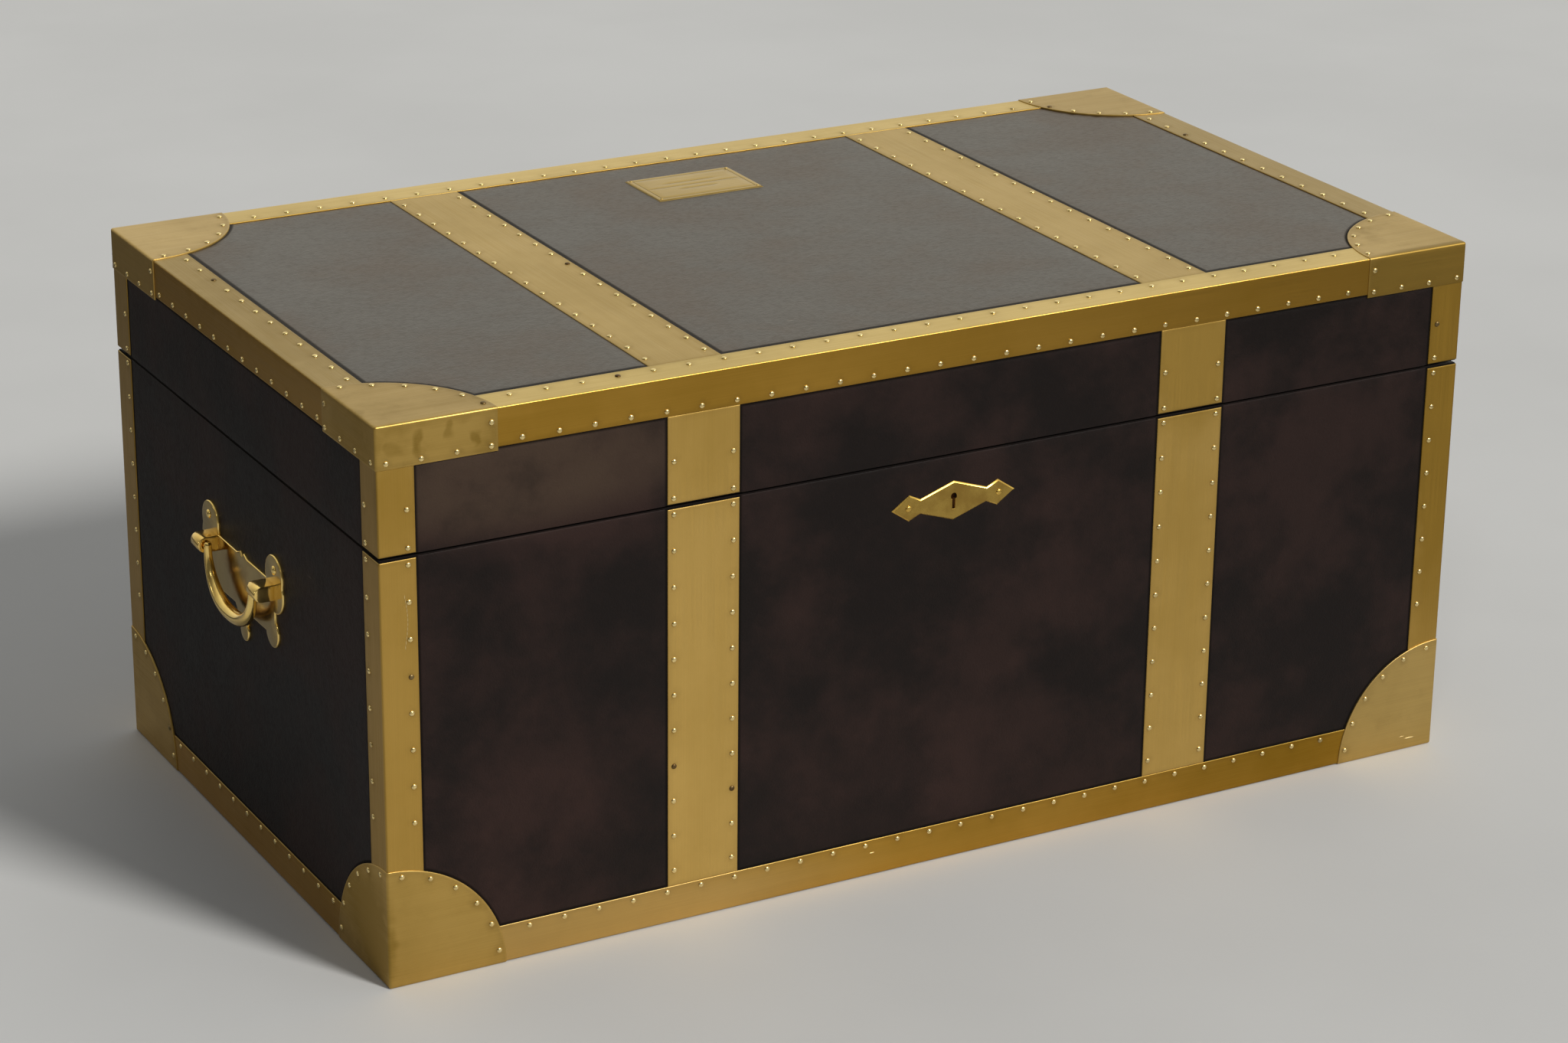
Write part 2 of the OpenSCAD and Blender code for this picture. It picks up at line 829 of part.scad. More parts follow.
module handle_plate() {
    color("gold") on_handle() difference() {
        union() {
            linear_extrude(handle_plate_t) difference() {
                union() {
                    half_wing();
                    mirror([1, 0]) half_wing();
                    translate([0, -drop_low]) circle(drop_r);
                }
                translate([0, web_top + 4]) rotate(45) square(7, center = true);
            }
            for (side = [-1, 1]) translate([side * lug_mid, 0, 0]) {
                translate([-lug_l / 2, -lug_r, handle_plate_t / 2])
                    cube([lug_l, 2 * lug_r, handle_out - handle_plate_t / 2]);
                translate([-lug_l / 2, 0, handle_out]) rotate([0, 90, 0]) cylinder(h = lug_l, r = lug_r);
            }
        }
        for (side = [0, 1]) mirror([side, 0, 0]) translate([lug_in, 0, handle_out]) rotate([0, 90, 0]) {
            translate([0, 0, -cut]) cylinder(h = cut + lug_l - 3, r = bail_pin_r + running_gap);
            translate([0, 0, -0.01]) cylinder(h = 1.2, r1 = bail_pin_r + 1.4, r2 = bail_pin_r);
        }
        for (side = [-1, 1]) translate([side * handle_screw_x, handle_screw_rise, -cut])
            cylinder(h = handle_plate_t + 2 * cut, r = handle_screw_r + screw_gap);
    }
}

module left_handle_plate() {
    handle_plate();
}

module right_handle_plate() {
    mirror([1, 0, 0]) handle_plate();
}

module handle_screws() {
    color("gold") both_sides() on_handle() for (side = [-1, 1])
        translate([side * handle_screw_x, handle_screw_rise, handle_plate_t])
            domed_nail(handle_screw_head, 1.8, handle_screw_r, handle_plate_t + 9);
}

// The bail's centreline, as a rounded half ellipse, and its radius there
function bail_point(t) = [
    bail_half_w * sign(cos(t)) * pow(abs(cos(t)), 2 / bail_power),
    -bail_drop * pow(abs(sin(t)), 2 / bail_power)
];
function bail_r(t) = bail_arm_r + (bail_grip_r - bail_arm_r) * pow(sin(t), 1.3);
function bail_angle(k) = 180 * k / bail_rings;
function bail_way(k) =
    let (a = bail_point(bail_angle(max(k - 1, 0))), b = bail_point(bail_angle(min(k + 1, bail_rings))))
    let (d = k == 0 ? [0, -1] : k == bail_rings ? [0, 1] : b - a)
    d / norm(d);
function bail_ring(c, w, r) = [
    for (s = [0 : bail_sides - 1])
        let (f = 360 * s / bail_sides)
        [c[0] - w[1] * r * cos(f), c[1] + w[0] * r * cos(f), r * sin(f)]
];

module bail() {
    tips = len(bail_ends);
    points = concat(
        [for (e = bail_ends) each bail_ring([bail_half_w, e[0]], [0, -1], bail_arm_r * e[1])],
        [for (k = [0 : bail_rings])
            each bail_ring(bail_point(bail_angle(k)), bail_way(k), bail_r(bail_angle(k)))],
        [for (i = [tips - 1 : -1 : 0])
            each bail_ring([-bail_half_w, bail_ends[i][0]], [0, 1], bail_arm_r * bail_ends[i][1])]
    );
    rings = bail_rings + 2 * tips;
    last = rings * bail_sides;
    sides = [
        for (k = [0 : rings - 1], s = [0 : bail_sides - 1])
            let (a = k * bail_sides + s, b = k * bail_sides + (s + 1) % bail_sides)
            each [[b, a, b + bail_sides], [b + bail_sides, a, a + bail_sides]]
    ];
    start = [for (s = [1 : bail_sides - 2]) [0, s, s + 1]];
    end = [for (s = [1 : bail_sides - 2]) [last, last + s + 1, last + s]];
    color("gold") on_handle() translate([0, 0, handle_out]) {
        polyhedron(points = points, faces = concat(sides, start, end));
        for (side = [-1, 1])
            translate([side * bail_half_w, 0, 0]) rotate([0, side * 90, 0])
                cylinder(h = bail_arm_r + side_gap + bail_pin_l, r = bail_pin_r);
    }
}

module left_bail() {
    bail();
}

module right_bail() {
    mirror([1, 0, 0]) bail();
}

// Hinges

// The knuckles of one leaf: the base has the odd ones and the lid the even ones
module hinge_knuckles(first) {
    for (k = [first : 2 : knuckles - 1])
        translate([-hinge_l / 2 + k * knuckle_l + side_gap / 2, hinge_y, seam_z])
            rotate([0, 90, 0]) cylinder(h = knuckle_l - side_gap, r = knuckle_r);
}

// A leaf that lies on an edge between two heights, with a tab to each of its knuckles
module hinge_leaf(low, high, first) {
    difference() {
        union() {
            block([-hinge_l / 2, inner_d, low], [hinge_l / 2, leaf_end_y, high]);
            for (k = [first : 2 : knuckles - 1])
                block([-hinge_l / 2 + k * knuckle_l + side_gap / 2, leaf_end_y - cut, low],
                      [-hinge_l / 2 + (k + 1) * knuckle_l - side_gap / 2, hinge_y, high]);
            hinge_knuckles(first);
        }
        translate([-hinge_l / 2 - cut, hinge_y, seam_z]) rotate([0, 90, 0])
            cylinder(h = hinge_l + 2 * cut, r = hinge_pin_r + running_gap);
    }
}

module hinge_base_leaves() {
    color("goldenrod") difference() {
        for (hinge = hinge_places)
            translate([hinge, 0, 0]) hinge_leaf(base_top, base_top + leaf_t, 0);
        translate([0, 0, base_top + leaf_t]) leaf_screw_places() screw_hole(leaf_t);
    }
}

module hinge_lid_leaves() {
    color("goldenrod") difference() {
        for (hinge = hinge_places)
            translate([hinge, 0, 0]) hinge_leaf(lid_bottom - leaf_t, lid_bottom, 1);
        translate([0, 0, lid_bottom - leaf_t])
            leaf_screw_places() rotate([180, 0, 0]) screw_hole(leaf_t);
    }
}

module hinge_pins() {
    color("silver") for (hinge = hinge_places)
        translate([hinge - hinge_l / 2, hinge_y, seam_z])
            rotate([0, 90, 0]) cylinder(h = hinge_l, r = hinge_pin_r);
}

// Lid stays

// Draws a shape of Y across and Z up at a depth inside the left side board
module at_stay(place, depth) {
    translate([-inner_w + depth, place[0], place[1]]) rotate([90, 0, 90]) children();
}

// A bracket screwed to the side board, with the pin that a link turns on
module stay_bracket(place, link_in) {
    difference() {
        at_stay(place, 0) translate([-stay_plate_w / 2, -stay_plate_h / 2, 0])
            cube([stay_plate_w, stay_plate_h, stay_plate_t]);
        bracket_screw_places(place[1]) screw_hole(stay_plate_t);
    }
    at_stay(place, stay_plate_t / 2)
        cylinder(h = link_in + stay_t + side_gap - stay_plate_t / 2, r = stay_pin_r);
    at_stay(place, link_in + stay_t + side_gap) cylinder(h = stay_head_t, r = stay_head_r);
}

// A flat link between two pivots, with a bore at each end that is given a radius
module stay_link(from, to, depth, from_bore, to_bore) {
    way = to - from;
    at_stay(from, depth) rotate(atan2(way[1], way[0])) difference() {
        union() {
            cylinder(h = stay_t, r = stay_w / 2);
            translate([stay_l, 0, 0]) cylinder(h = stay_t, r = stay_w / 2);
            translate([0, -stay_w / 2, 0]) cube([stay_l, stay_w, stay_t]);
        }
        if (from_bore > 0) translate([0, 0, -cut]) cylinder(h = stay_t + 2 * cut, r = from_bore);
        if (to_bore > 0)
            translate([stay_l, 0, -cut]) cylinder(h = stay_t + 2 * cut, r = to_bore);
    }
}

module stay_base_brackets() {
    color("goldenrod") both_sides() stay_bracket(stay_low, lower_link_in);
}

module stay_lid_brackets() {
    color("goldenrod") both_sides() stay_bracket(stay_high, upper_link_in);
}

// The lower link turns on the base's pin and carries the elbow pin
module left_stay_lower_link() {
    color("goldenrod") {
        stay_link(stay_low, stay_elbow, lower_link_in, stay_pin_r + running_gap, 0);
        at_stay(stay_elbow, lower_link_in + stay_t / 2)
            cylinder(h = upper_link_in + stay_t + side_gap - lower_link_in - stay_t / 2, r = stay_pin_r);
        at_stay(stay_elbow, upper_link_in + stay_t + side_gap)
            cylinder(h = stay_head_t, r = stay_head_r);
    }
}

module right_stay_lower_link() {
    mirror([1, 0, 0]) left_stay_lower_link();
}

// The upper link turns on the elbow pin and reaches the lid's pin
module left_stay_upper_link() {
    color("goldenrod") stay_link(stay_elbow, stay_high, upper_link_in, stay_pin_r + running_gap,
                                 stay_pin_r + open_pivot_gap);
}

module right_stay_upper_link() {
    mirror([1, 0, 0]) left_stay_upper_link();
}

base_front_board();
base_back_board();
base_left_board();
base_right_board();
base_floor_board();
base_front_leather();
base_back_leather();
base_left_leather();
base_right_leather();
base_straps();
base_corner_angles();
base_bottom_bands();
base_corner_caps();
base_front_nails();
base_back_nails();
base_side_nails();
lock_escutcheon();
escutcheon_pins();
lock_case();
left_handle_plate();
right_handle_plate();
handle_screws();
hinge_base_leaves();
hinge_pins();
base_fitting_screws();
stay_base_brackets();
left_bail();
right_bail();
lock_bolt();
left_stay_lower_link();
right_stay_lower_link();
left_stay_upper_link();
right_stay_upper_link();
lid_top_board();
lid_front_board();
lid_back_board();
lid_left_board();
lid_right_board();
lid_top_leather();
lid_front_leather();
lid_back_leather();
lid_left_leather();
lid_right_leather();
lid_top_straps();
lid_face_straps();
lid_corner_angles();
lid_top_bands();
lid_corner_caps();
lid_top_nails();
lid_front_nails();
lid_back_nails();
lid_side_nails();
name_plate();
name_plate_pins();
hinge_lid_leaves();
lid_strike();
stay_lid_brackets();
lid_fitting_screws();
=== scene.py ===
# Looks of a brass-bound leather storage chest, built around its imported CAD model.
# Lengths are in millimetres in the making functions and in metres in Blender.

import math
import random
from collections import Counter

import bmesh
import bpy
import numpy as np
from mathutils import Matrix, Vector, noise


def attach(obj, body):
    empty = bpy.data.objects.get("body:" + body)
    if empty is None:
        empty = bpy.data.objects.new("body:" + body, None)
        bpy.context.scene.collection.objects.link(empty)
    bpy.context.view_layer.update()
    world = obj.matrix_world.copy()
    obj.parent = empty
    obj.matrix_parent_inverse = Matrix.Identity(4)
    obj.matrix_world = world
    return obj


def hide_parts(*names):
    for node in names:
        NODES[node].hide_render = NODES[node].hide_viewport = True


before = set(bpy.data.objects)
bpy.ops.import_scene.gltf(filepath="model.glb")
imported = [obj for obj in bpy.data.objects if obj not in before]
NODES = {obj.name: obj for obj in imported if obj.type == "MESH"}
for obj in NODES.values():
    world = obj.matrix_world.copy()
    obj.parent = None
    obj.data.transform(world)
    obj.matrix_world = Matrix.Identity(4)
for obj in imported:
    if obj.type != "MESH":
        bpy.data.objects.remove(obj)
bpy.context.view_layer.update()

# Sizes of the chest, as in the CAD source
HALF_W = 540.0
HALF_D = 300.0
HIGH = 500.0
SEAM = 385.0
SEAM_GAP = 2.5
BASE_TOP = SEAM - SEAM_GAP / 2
LID_LOW = SEAM + SEAM_GAP / 2
LEATHER = 1.2
BAND_W = 35.0
POST_W = 34.0
STRAP_W = 68.0
STRAP_X = 244.0
STRAP_T = 0.8
CAP_R = 108.0
CAP_FLAP = 38.0
CAP_T = 0.9
SKIN = 1.9
STRIP_GAP = 2.0  # from the rims at the seam to the ends of the strips
STRAP_HIGH_Z = BASE_TOP - STRIP_GAP
STRAP_LOW_Z = LID_LOW + STRIP_GAP
SEAM_EDGE = 1.0  # the brass reaches a little closer to the seam than in the CAD source
NAIL_R = 2.5
NAIL_H = 1.3
PITCH = 32.8
NAIL_EDGE = 5.0
LONG_IN = 5.0  # how much further in the top's nails lie than those of the upright faces
SHORT_IN = 2.5
POST_NAIL = POST_W - NAIL_EDGE - 2  # from the corner
STRAP_NAIL = STRAP_W / 2 - NAIL_EDGE - 1  # from the strap's middle
UNDER_CAP = 60.0  # where the strips that end under the caps stop, from the corner
UNDER_FLAP = 30.0  # where the lid's corner angles stop, under the caps' flaps
DENT = 0.12  # depth of the brass round a nail
DENT_R = 4.5

METRE = 1000.0  # in millimetres
MM = 1 / METRE  # in metres
ROUND = 2.2  # rounding of the chest's edges at the caps' face
LIP = 0.55  # rounding of the strips' edges
BEND = [0.0, ROUND * 0.3, ROUND * 0.65, ROUND]  # grid lines over a rounded edge of the chest
EDGE = [1.6, LIP, LIP * 0.35, 0.0]  # distances of grid lines from a strip's edge
FINE = PITCH / 7  # pitch of the grid lines along a strip
FAR = 9.0  # a distance from a sheet's edge at which the edge has no effect
WIDE_FACES = ("front", "back")
UPRIGHT_FACES = WIDE_FACES + ("left", "right")
BOX_LOW = np.array([-HALF_W, -HALF_D, 0.0])
BOX_HIGH = np.array([HALF_W, HALF_D, HIGH])

random_draw = random.Random(7)


# Places on the faces


def on_face(face, u, v):
    """A point of the sharp outer box, from a place on one of its faces."""
    return {
        "front": (u, -HALF_D, v),
        "back": (u, HALF_D, v),
        "left": (-HALF_W, -u, v),
        "right": (HALF_W, -u, v),
        "top": (u, v, HIGH),
    }[face]


NORMALS = {
    "front": Vector((0, -1, 0)),
    "back": Vector((0, 1, 0)),
    "left": Vector((-1, 0, 0)),
    "right": Vector((1, 0, 0)),
    "top": Vector((0, 0, 1)),
}


def rounded(points, height):
    """Moves points of the sharp box onto the rounded one, at heights over the caps' face."""
    points = np.asarray(points, float)
    inner = np.clip(points, BOX_LOW + ROUND, BOX_HIGH - ROUND)
    way = points - inner
    way /= np.linalg.norm(way, axis=1)[:, None]
    return inner + way * (ROUND + np.asarray(height, float))[:, None]


# Meshes


def link(name, data):
    made = bpy.data.objects.new(name, data)
    bpy.context.scene.collection.objects.link(made)
    return made


class Shape:
    """Collects vertices and faces of one Blender object."""

    def __init__(self):
        self.points = []
        self.faces = []
        self.maps = []
        self.grime_and_painted_light = []

    def add(self, points, faces, maps=None, grime_and_painted_light=None):
        start = len(self.points)
        self.points.extend(map(tuple, points))
        self.faces.extend([[start + i for i in f] for f in faces])
        self.maps.extend(maps if maps else [[(0.0, 0.0)] * len(f) for f in faces])
        self.grime_and_painted_light.extend(grime_and_painted_light if grime_and_painted_light is not None else [0.0] * len(points))

    def build(self, name, material, body, node, slot, sharp=50):
        mesh = bpy.data.meshes.new(name)
        mesh.from_pydata([tuple(c * MM for c in p) for p in self.points], [], self.faces)
        layer = mesh.uv_layers.new(name="strip")
        layer.data.foreach_set("uv", [c for m in self.maps for uv in m for c in uv])
        # dirt, painted shade on rims and plate faces, and a painted highlight on the caps' rims where
        # negative
        grime_and_painted_light = mesh.attributes.new("grime_and_painted_light", "FLOAT", "POINT")
        grime_and_painted_light.data.foreach_set("value", self.grime_and_painted_light)
        work = bmesh.new()
        work.from_mesh(mesh)
        bmesh.ops.recalc_face_normals(work, faces=work.faces[:])
        work.to_mesh(mesh)
        work.free()
        mesh.polygons.foreach_set("use_smooth", [True] * len(mesh.polygons))
        mesh.set_sharp_from_angle(angle=math.radians(sharp))
        mesh.materials.append(material)
        piece = link(name, mesh)
        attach(piece, body)
        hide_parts(node)


def borders(edges, ends=tuple):
    """The closed loops made by the edges that occur only once."""
    beside = {}
    for edge, count in Counter(edges).items():
        if count == 1:
            a, b = ends(edge)
            beside.setdefault(a, []).append(b)
            beside.setdefault(b, []).append(a)
    found = []
    while beside:
        start = next(iter(beside))
        loop = [start]
        at = beside.pop(start)[0]
        while at != start:
            onward = beside.pop(at)
            before = loop[-1]
            loop.append(at)
            at = onward[0] if onward[0] != before else onward[1]
        found.append(loop)
    return found


def tube_faces(rows, ring, top=True):
    """Faces of a tube made of rows of points, closed at its start and, if asked, at its end."""
    faces = [list(range(ring))[::-1]]
    for k in range(rows - 1):
        for j in range(ring):
            a, b = k * ring + j, k * ring + (j + 1) % ring
            faces.append([a, b, b + ring, a + ring])
    if top:
        faces.append([(rows - 1) * ring + j for j in range(ring)])
    return faces


class Sheet:
    """One thin sheet that lies on the box, over one face or bent round several."""

    def __init__(self, top, bottom):
        self.top = top
        self.bottom = bottom
        self.index = {}
        self.points = []
        self.rim = []
        self.quads = []
        self.maps = []
        self.shift = (random_draw.random(), random_draw.random())

    def vertex(self, point, rim):
        key = tuple(round(c, 3) for c in point)
        at = self.index.setdefault(key, len(self.points))
        if at == len(self.points):
            self.points.append(point)
            self.rim.append(rim)
        self.rim[at] = min(self.rim[at], rim)
        return at

    def grid(self, us, vs, place, rim=lambda u, v: FAR, spot=lambda u, v: (u, v)):
        """A grid over two lists of lines. Each crossing has a spot, (along, across), which place
        turns into a point, and rim gives its distance from the sheet's own edge."""
        ids = [[self.vertex(place(*spot(u, v)), rim(u, v)) for v in vs] for u in us]
        for i in range(len(us) - 1):
            for j in range(len(vs) - 1):
                corners = [(i, j), (i + 1, j), (i + 1, j + 1), (i, j + 1)]
                quad = [ids[a][b] for a, b in corners]
                spots = [spot(us[a], vs[b]) for a, b in corners]
                kept = [k for k in range(4) if quad[k] != quad[k - 1]]
                if len(kept) > 2:
                    self.quads.append([quad[k] for k in kept])
                    self.maps.append(
                        [tuple(c * MM + s for c, s in zip(spots[k], self.shift)) for k in kept]
                    )

    def loops(self):
        """The closed borders of the top surface."""
        return borders(frozenset((q[k - 1], q[k])) for q in self.quads for k in range(len(q)))

    def worked(self, points, nails, wave, edge_painted_light):
        """Heights, and grime and painted light, of a brass sheet, rounded at its edge and dented
        round its nails.
        Its rim takes edge_painted_light: a positive value is painted shade, a negative one a painted
        highlight."""
        rim = np.array(self.rim, float)
        near = np.clip(1 - rim / LIP, 0, 1)
        height = self.top - LIP * 0.8 * (1 - np.sqrt(np.clip(1 - near**2, 0, 1)))
        shift = Vector((self.shift[0] * 90, 0, 0))
        height += wave * np.array(
            [min(noise.noise(Vector(p) * 0.026 + shift) - 0.6, 0.0) for p in self.points]
        )
        grime_and_painted_light = np.exp(-(((rim - 1.6) / 1.2) ** 2)) * 0.22
        # painted shade on the rims of the strips, a painted highlight on the rims of the caps
        grime_and_painted_light[rim < LIP + 0.01] = edge_painted_light
        for nail in nails:
            gap = np.linalg.norm(points - np.array(nail), axis=1)
            height -= DENT * np.exp(-((gap / DENT_R) ** 2))
            grime_and_painted_light = np.maximum(grime_and_painted_light, 0.55 * np.exp(-((gap / 4.0) ** 2)))
        return height, grime_and_painted_light

    def into(self, shape, nails=(), wave=0.05, lift=None, flat=None, edge_painted_light=0.35):
        """Adds the sheet to a shape, as worked brass, or as a plain sheet whose top is moved
        along the normal of a flat face by the heights in lift."""
        points = np.array(self.points, float)

        def place(places, heights):
            if lift is None:
                return rounded(places, heights)
            return places + np.outer(heights, flat)

        if lift is None:
            height, grime_and_painted_light = self.worked(points, nails, wave, edge_painted_light)
        else:
            height, grime_and_painted_light = self.top + lift, [0.0] * len(points)
        made = list(map(tuple, place(points, height)))
        faces = list(self.quads)
        maps = list(self.maps)
        grime_and_painted_light = list(grime_and_painted_light)
        loops = self.loops()
        low = len(made)

        def lower(places, amount):
            made.extend(map(tuple, place(places, np.full(len(places), self.bottom))))
            grime_and_painted_light.extend([amount] * len(places))

        if len(loops) > 1:
            lower(points, 0.0)
            faces += [[low + i for i in reversed(q)] for q in self.quads]
            maps += [list(reversed(m)) for m in self.maps]
            below = {i: low + i for i in range(len(points))}
        else:
            edge = loops[0]
            # the foot of the sheet's edge takes 0.9 of the dark tone
            lower(points[edge], 0.9)
            below = {i: low + k for k, i in enumerate(edge)}
            planes = self.planes(edge)
            corner = []
            if len(planes) == 3:
                corner = [len(made)]
                lower(np.array([[where for _, where in planes]]), 0.0)
            for axis, where in planes:
                on = [abs(points[i][axis] - where) < 1e-6 for i in edge]
                first = next((k for k in range(len(edge)) if on[k] and not on[k - 1]), 0)
                turned = [(first + k) % len(edge) for k in range(len(edge))]
                run = turned[: next((k for k, at in enumerate(turned) if not on[at]), len(edge))]
                face = [below[edge[k]] for k in reversed(run)] + corner
                faces.append(face)
                maps.append([(0.0, 0.0)] * len(face))
        for loop in loops:
            for k in range(len(loop)):
                a, b = loop[k - 1], loop[k]
                faces.append([b, a, below[a], below[b]])
                along = points[a].sum() * MM
                maps.append([(along, 0.0)] * 2 + [(along, MM)] * 2)
        shape.add(made, faces, maps, grime_and_painted_light)

    def planes(self, edge):
        """The box's planes that the border runs over, as (axis, place)."""
        sides = [(axis, box[axis]) for axis in range(3) for box in (BOX_LOW, BOX_HIGH)]
        return [
            (axis, where)
            for axis, where in sides
            if sum(abs(self.points[i][axis] - where) < 1e-6 for i in edge) > 2
        ]


def steps(low, high, nail):
    """Lines of a grid from low to high, aligned with a nail and close together at the ends."""
    start = [low + d for d in reversed(EDGE)]
    stop = [high - d for d in EDGE]
    first = math.ceil((start[-1] + FINE * 0.45 - nail) / FINE)
    last = math.floor((stop[0] - FINE * 0.45 - nail) / FINE)
    return start + [nail + k * FINE for k in range(first, last + 1)] + stop


def leg_lines(width, nail):
    """Distances from the box's edge over one leg of an angle strip."""
    bend = BEND + [ROUND + 2.0]
    middle = [x for x in (nail - 8, nail - 4, nail, nail + 4) if bend[-1] + 1.5 < x < width - 2.5]
    return bend + middle + [width - d for d in EDGE]


def angle_strip(shape, edge, ways, low, high, leg, nail_at, nails, nail):
    """An angle strip along an edge of the box: edge(along) is a point on it, from which the two
    ways lead over one face and over the other."""
    sheet = Sheet(-CAP_T, -SKIN)
    sheet.grid(
        steps(low, high, nail),
        [-x for x in reversed(leg_lines(leg, nail_at[0]))] + leg_lines(leg, nail_at[1])[1:],
        lambda s, t: np.array(edge(s)) + abs(t) * np.array(ways[t > 0]),
        lambda s, t: min(s - low, high - s, leg - abs(t)),
    )
    sheet.into(shape, nails)


def flat_strip(shape, face, low, high, centre, nails, nail):
    """A strap along the face's V direction."""
    sheet = Sheet(STRAP_T - SKIN, -SKIN)
    half = STRAP_W / 2
    side = [half - d for d in reversed(EDGE)] + [STRAP_NAIL - d for d in (0, 4, 8, 14)] + [8.0]
    sheet.grid(
        steps(low, high, nail),
        [-x for x in side] + [0.0] + side[::-1],
        lambda s, t: on_face(face, centre + t, s),
        lambda s, t: min(s - low, high - s, half - abs(t)),
    )
    sheet.into(shape, nails)


# Nail places, as in the CAD source: (u, v, depth of the seat under the caps' face)


def middle_row(free):
    n = round(free / PITCH)
    return [(k - (n - 1) / 2) * PITCH for k in range(n)]


def end_row(start, stop):
    way = 1 if stop > start else -1
    first = start + way * (NAIL_EDGE - 1)
    n = math.floor((abs(stop - first) - 8) / PITCH) + 1
    return [first + way * k * PITCH for k in range(n)]


CAP_NAIL_R = CAP_R - NAIL_EDGE - CAP_T
LONG_ROW = middle_row(2 * HALF_W - 2 * CAP_R)
SHORT_ROW = middle_row(2 * HALF_D - 2 * CAP_R)
TOP_STRAP_ROW = middle_row(2 * HALF_D - 2 * BAND_W)
BASE_ROWS = end_row(STRAP_HIGH_Z, BAND_W)
BASE_POST_ROWS = end_row(STRAP_HIGH_Z, CAP_R)
LID_ROWS = end_row(STRAP_LOW_Z, HIGH - BAND_W)
LID_POST_ROWS = end_row(STRAP_LOW_Z, HIGH - CAP_FLAP)


def mirrored(places):
    return places + [(-p[0], *p[1:]) for p in places]


def strap_places(rows):
    return [
        (side * STRAP_X + edge * STRAP_NAIL, v, SKIN - STRAP_T)
        for side in (-1, 1)
        for edge in (-1, 1)
        for v in rows
    ]


def arc_places(half):
    turn = [math.radians((k + 0.5) * 15) for k in range(6)]
    return mirrored(
        [(-half + CAP_NAIL_R * math.cos(a), CAP_NAIL_R * math.sin(a), 0.0) for a in turn]
    )


def flap_places(half):
    pitch = (CAP_NAIL_R - 9) / 3
    low = [(-half + 9 + k * pitch, HIGH - CAP_FLAP + NAIL_EDGE, 0.0) for k in range(4)]
    return mirrored(low + [(-half + CAP_NAIL_R, HIGH - CAP_FLAP / 3, 0.0)])


def top_places():
    row_x = HALF_W - BAND_W + NAIL_EDGE + SHORT_IN
    row_y = HALF_D - BAND_W + NAIL_EDGE + LONG_IN
    corners = [(p[0], p[1] - HALF_D, p[2]) for p in arc_places(HALF_W)]
    return (
        [(u, v, CAP_T) for v in (row_y, -row_y) for u in LONG_ROW]
        + mirrored([(row_x, v, CAP_T) for v in SHORT_ROW])
        + strap_places(TOP_STRAP_ROW)
        + corners
        + [(p[0], -p[1], p[2]) for p in corners]
    )


def body_places(band_v, post_rows, strap_rows, caps):
    """The places on the four upright faces of one body."""
    found = {}
    for face in UPRIGHT_FACES:
        wide = face in WIDE_FACES
        half, row = (HALF_W, LONG_ROW) if wide else (HALF_D, SHORT_ROW)
        posts = mirrored([(-half + POST_NAIL, v, CAP_T) for v in post_rows])
        straps = strap_places(strap_rows) if wide else []
        found[face] = [(u, band_v, CAP_T) for u in row] + posts + caps(half) + straps
    return found


NAILS = {
    "base": body_places(BAND_W - NAIL_EDGE, BASE_POST_ROWS, BASE_ROWS, arc_places),
    "lid": body_places(HIGH - BAND_W + NAIL_EDGE, LID_POST_ROWS, LID_ROWS, flap_places),
}
NAILS["lid"]["top"] = top_places()


def nail_points(body, depth):
    """Points of the box under the nails whose seats are at this depth."""
    return [
        on_face(face, u, v)
        for face, places in NAILS[body].items()
        for u, v, d in places
        if abs(d - depth) < 0.01
    ]


# Materials


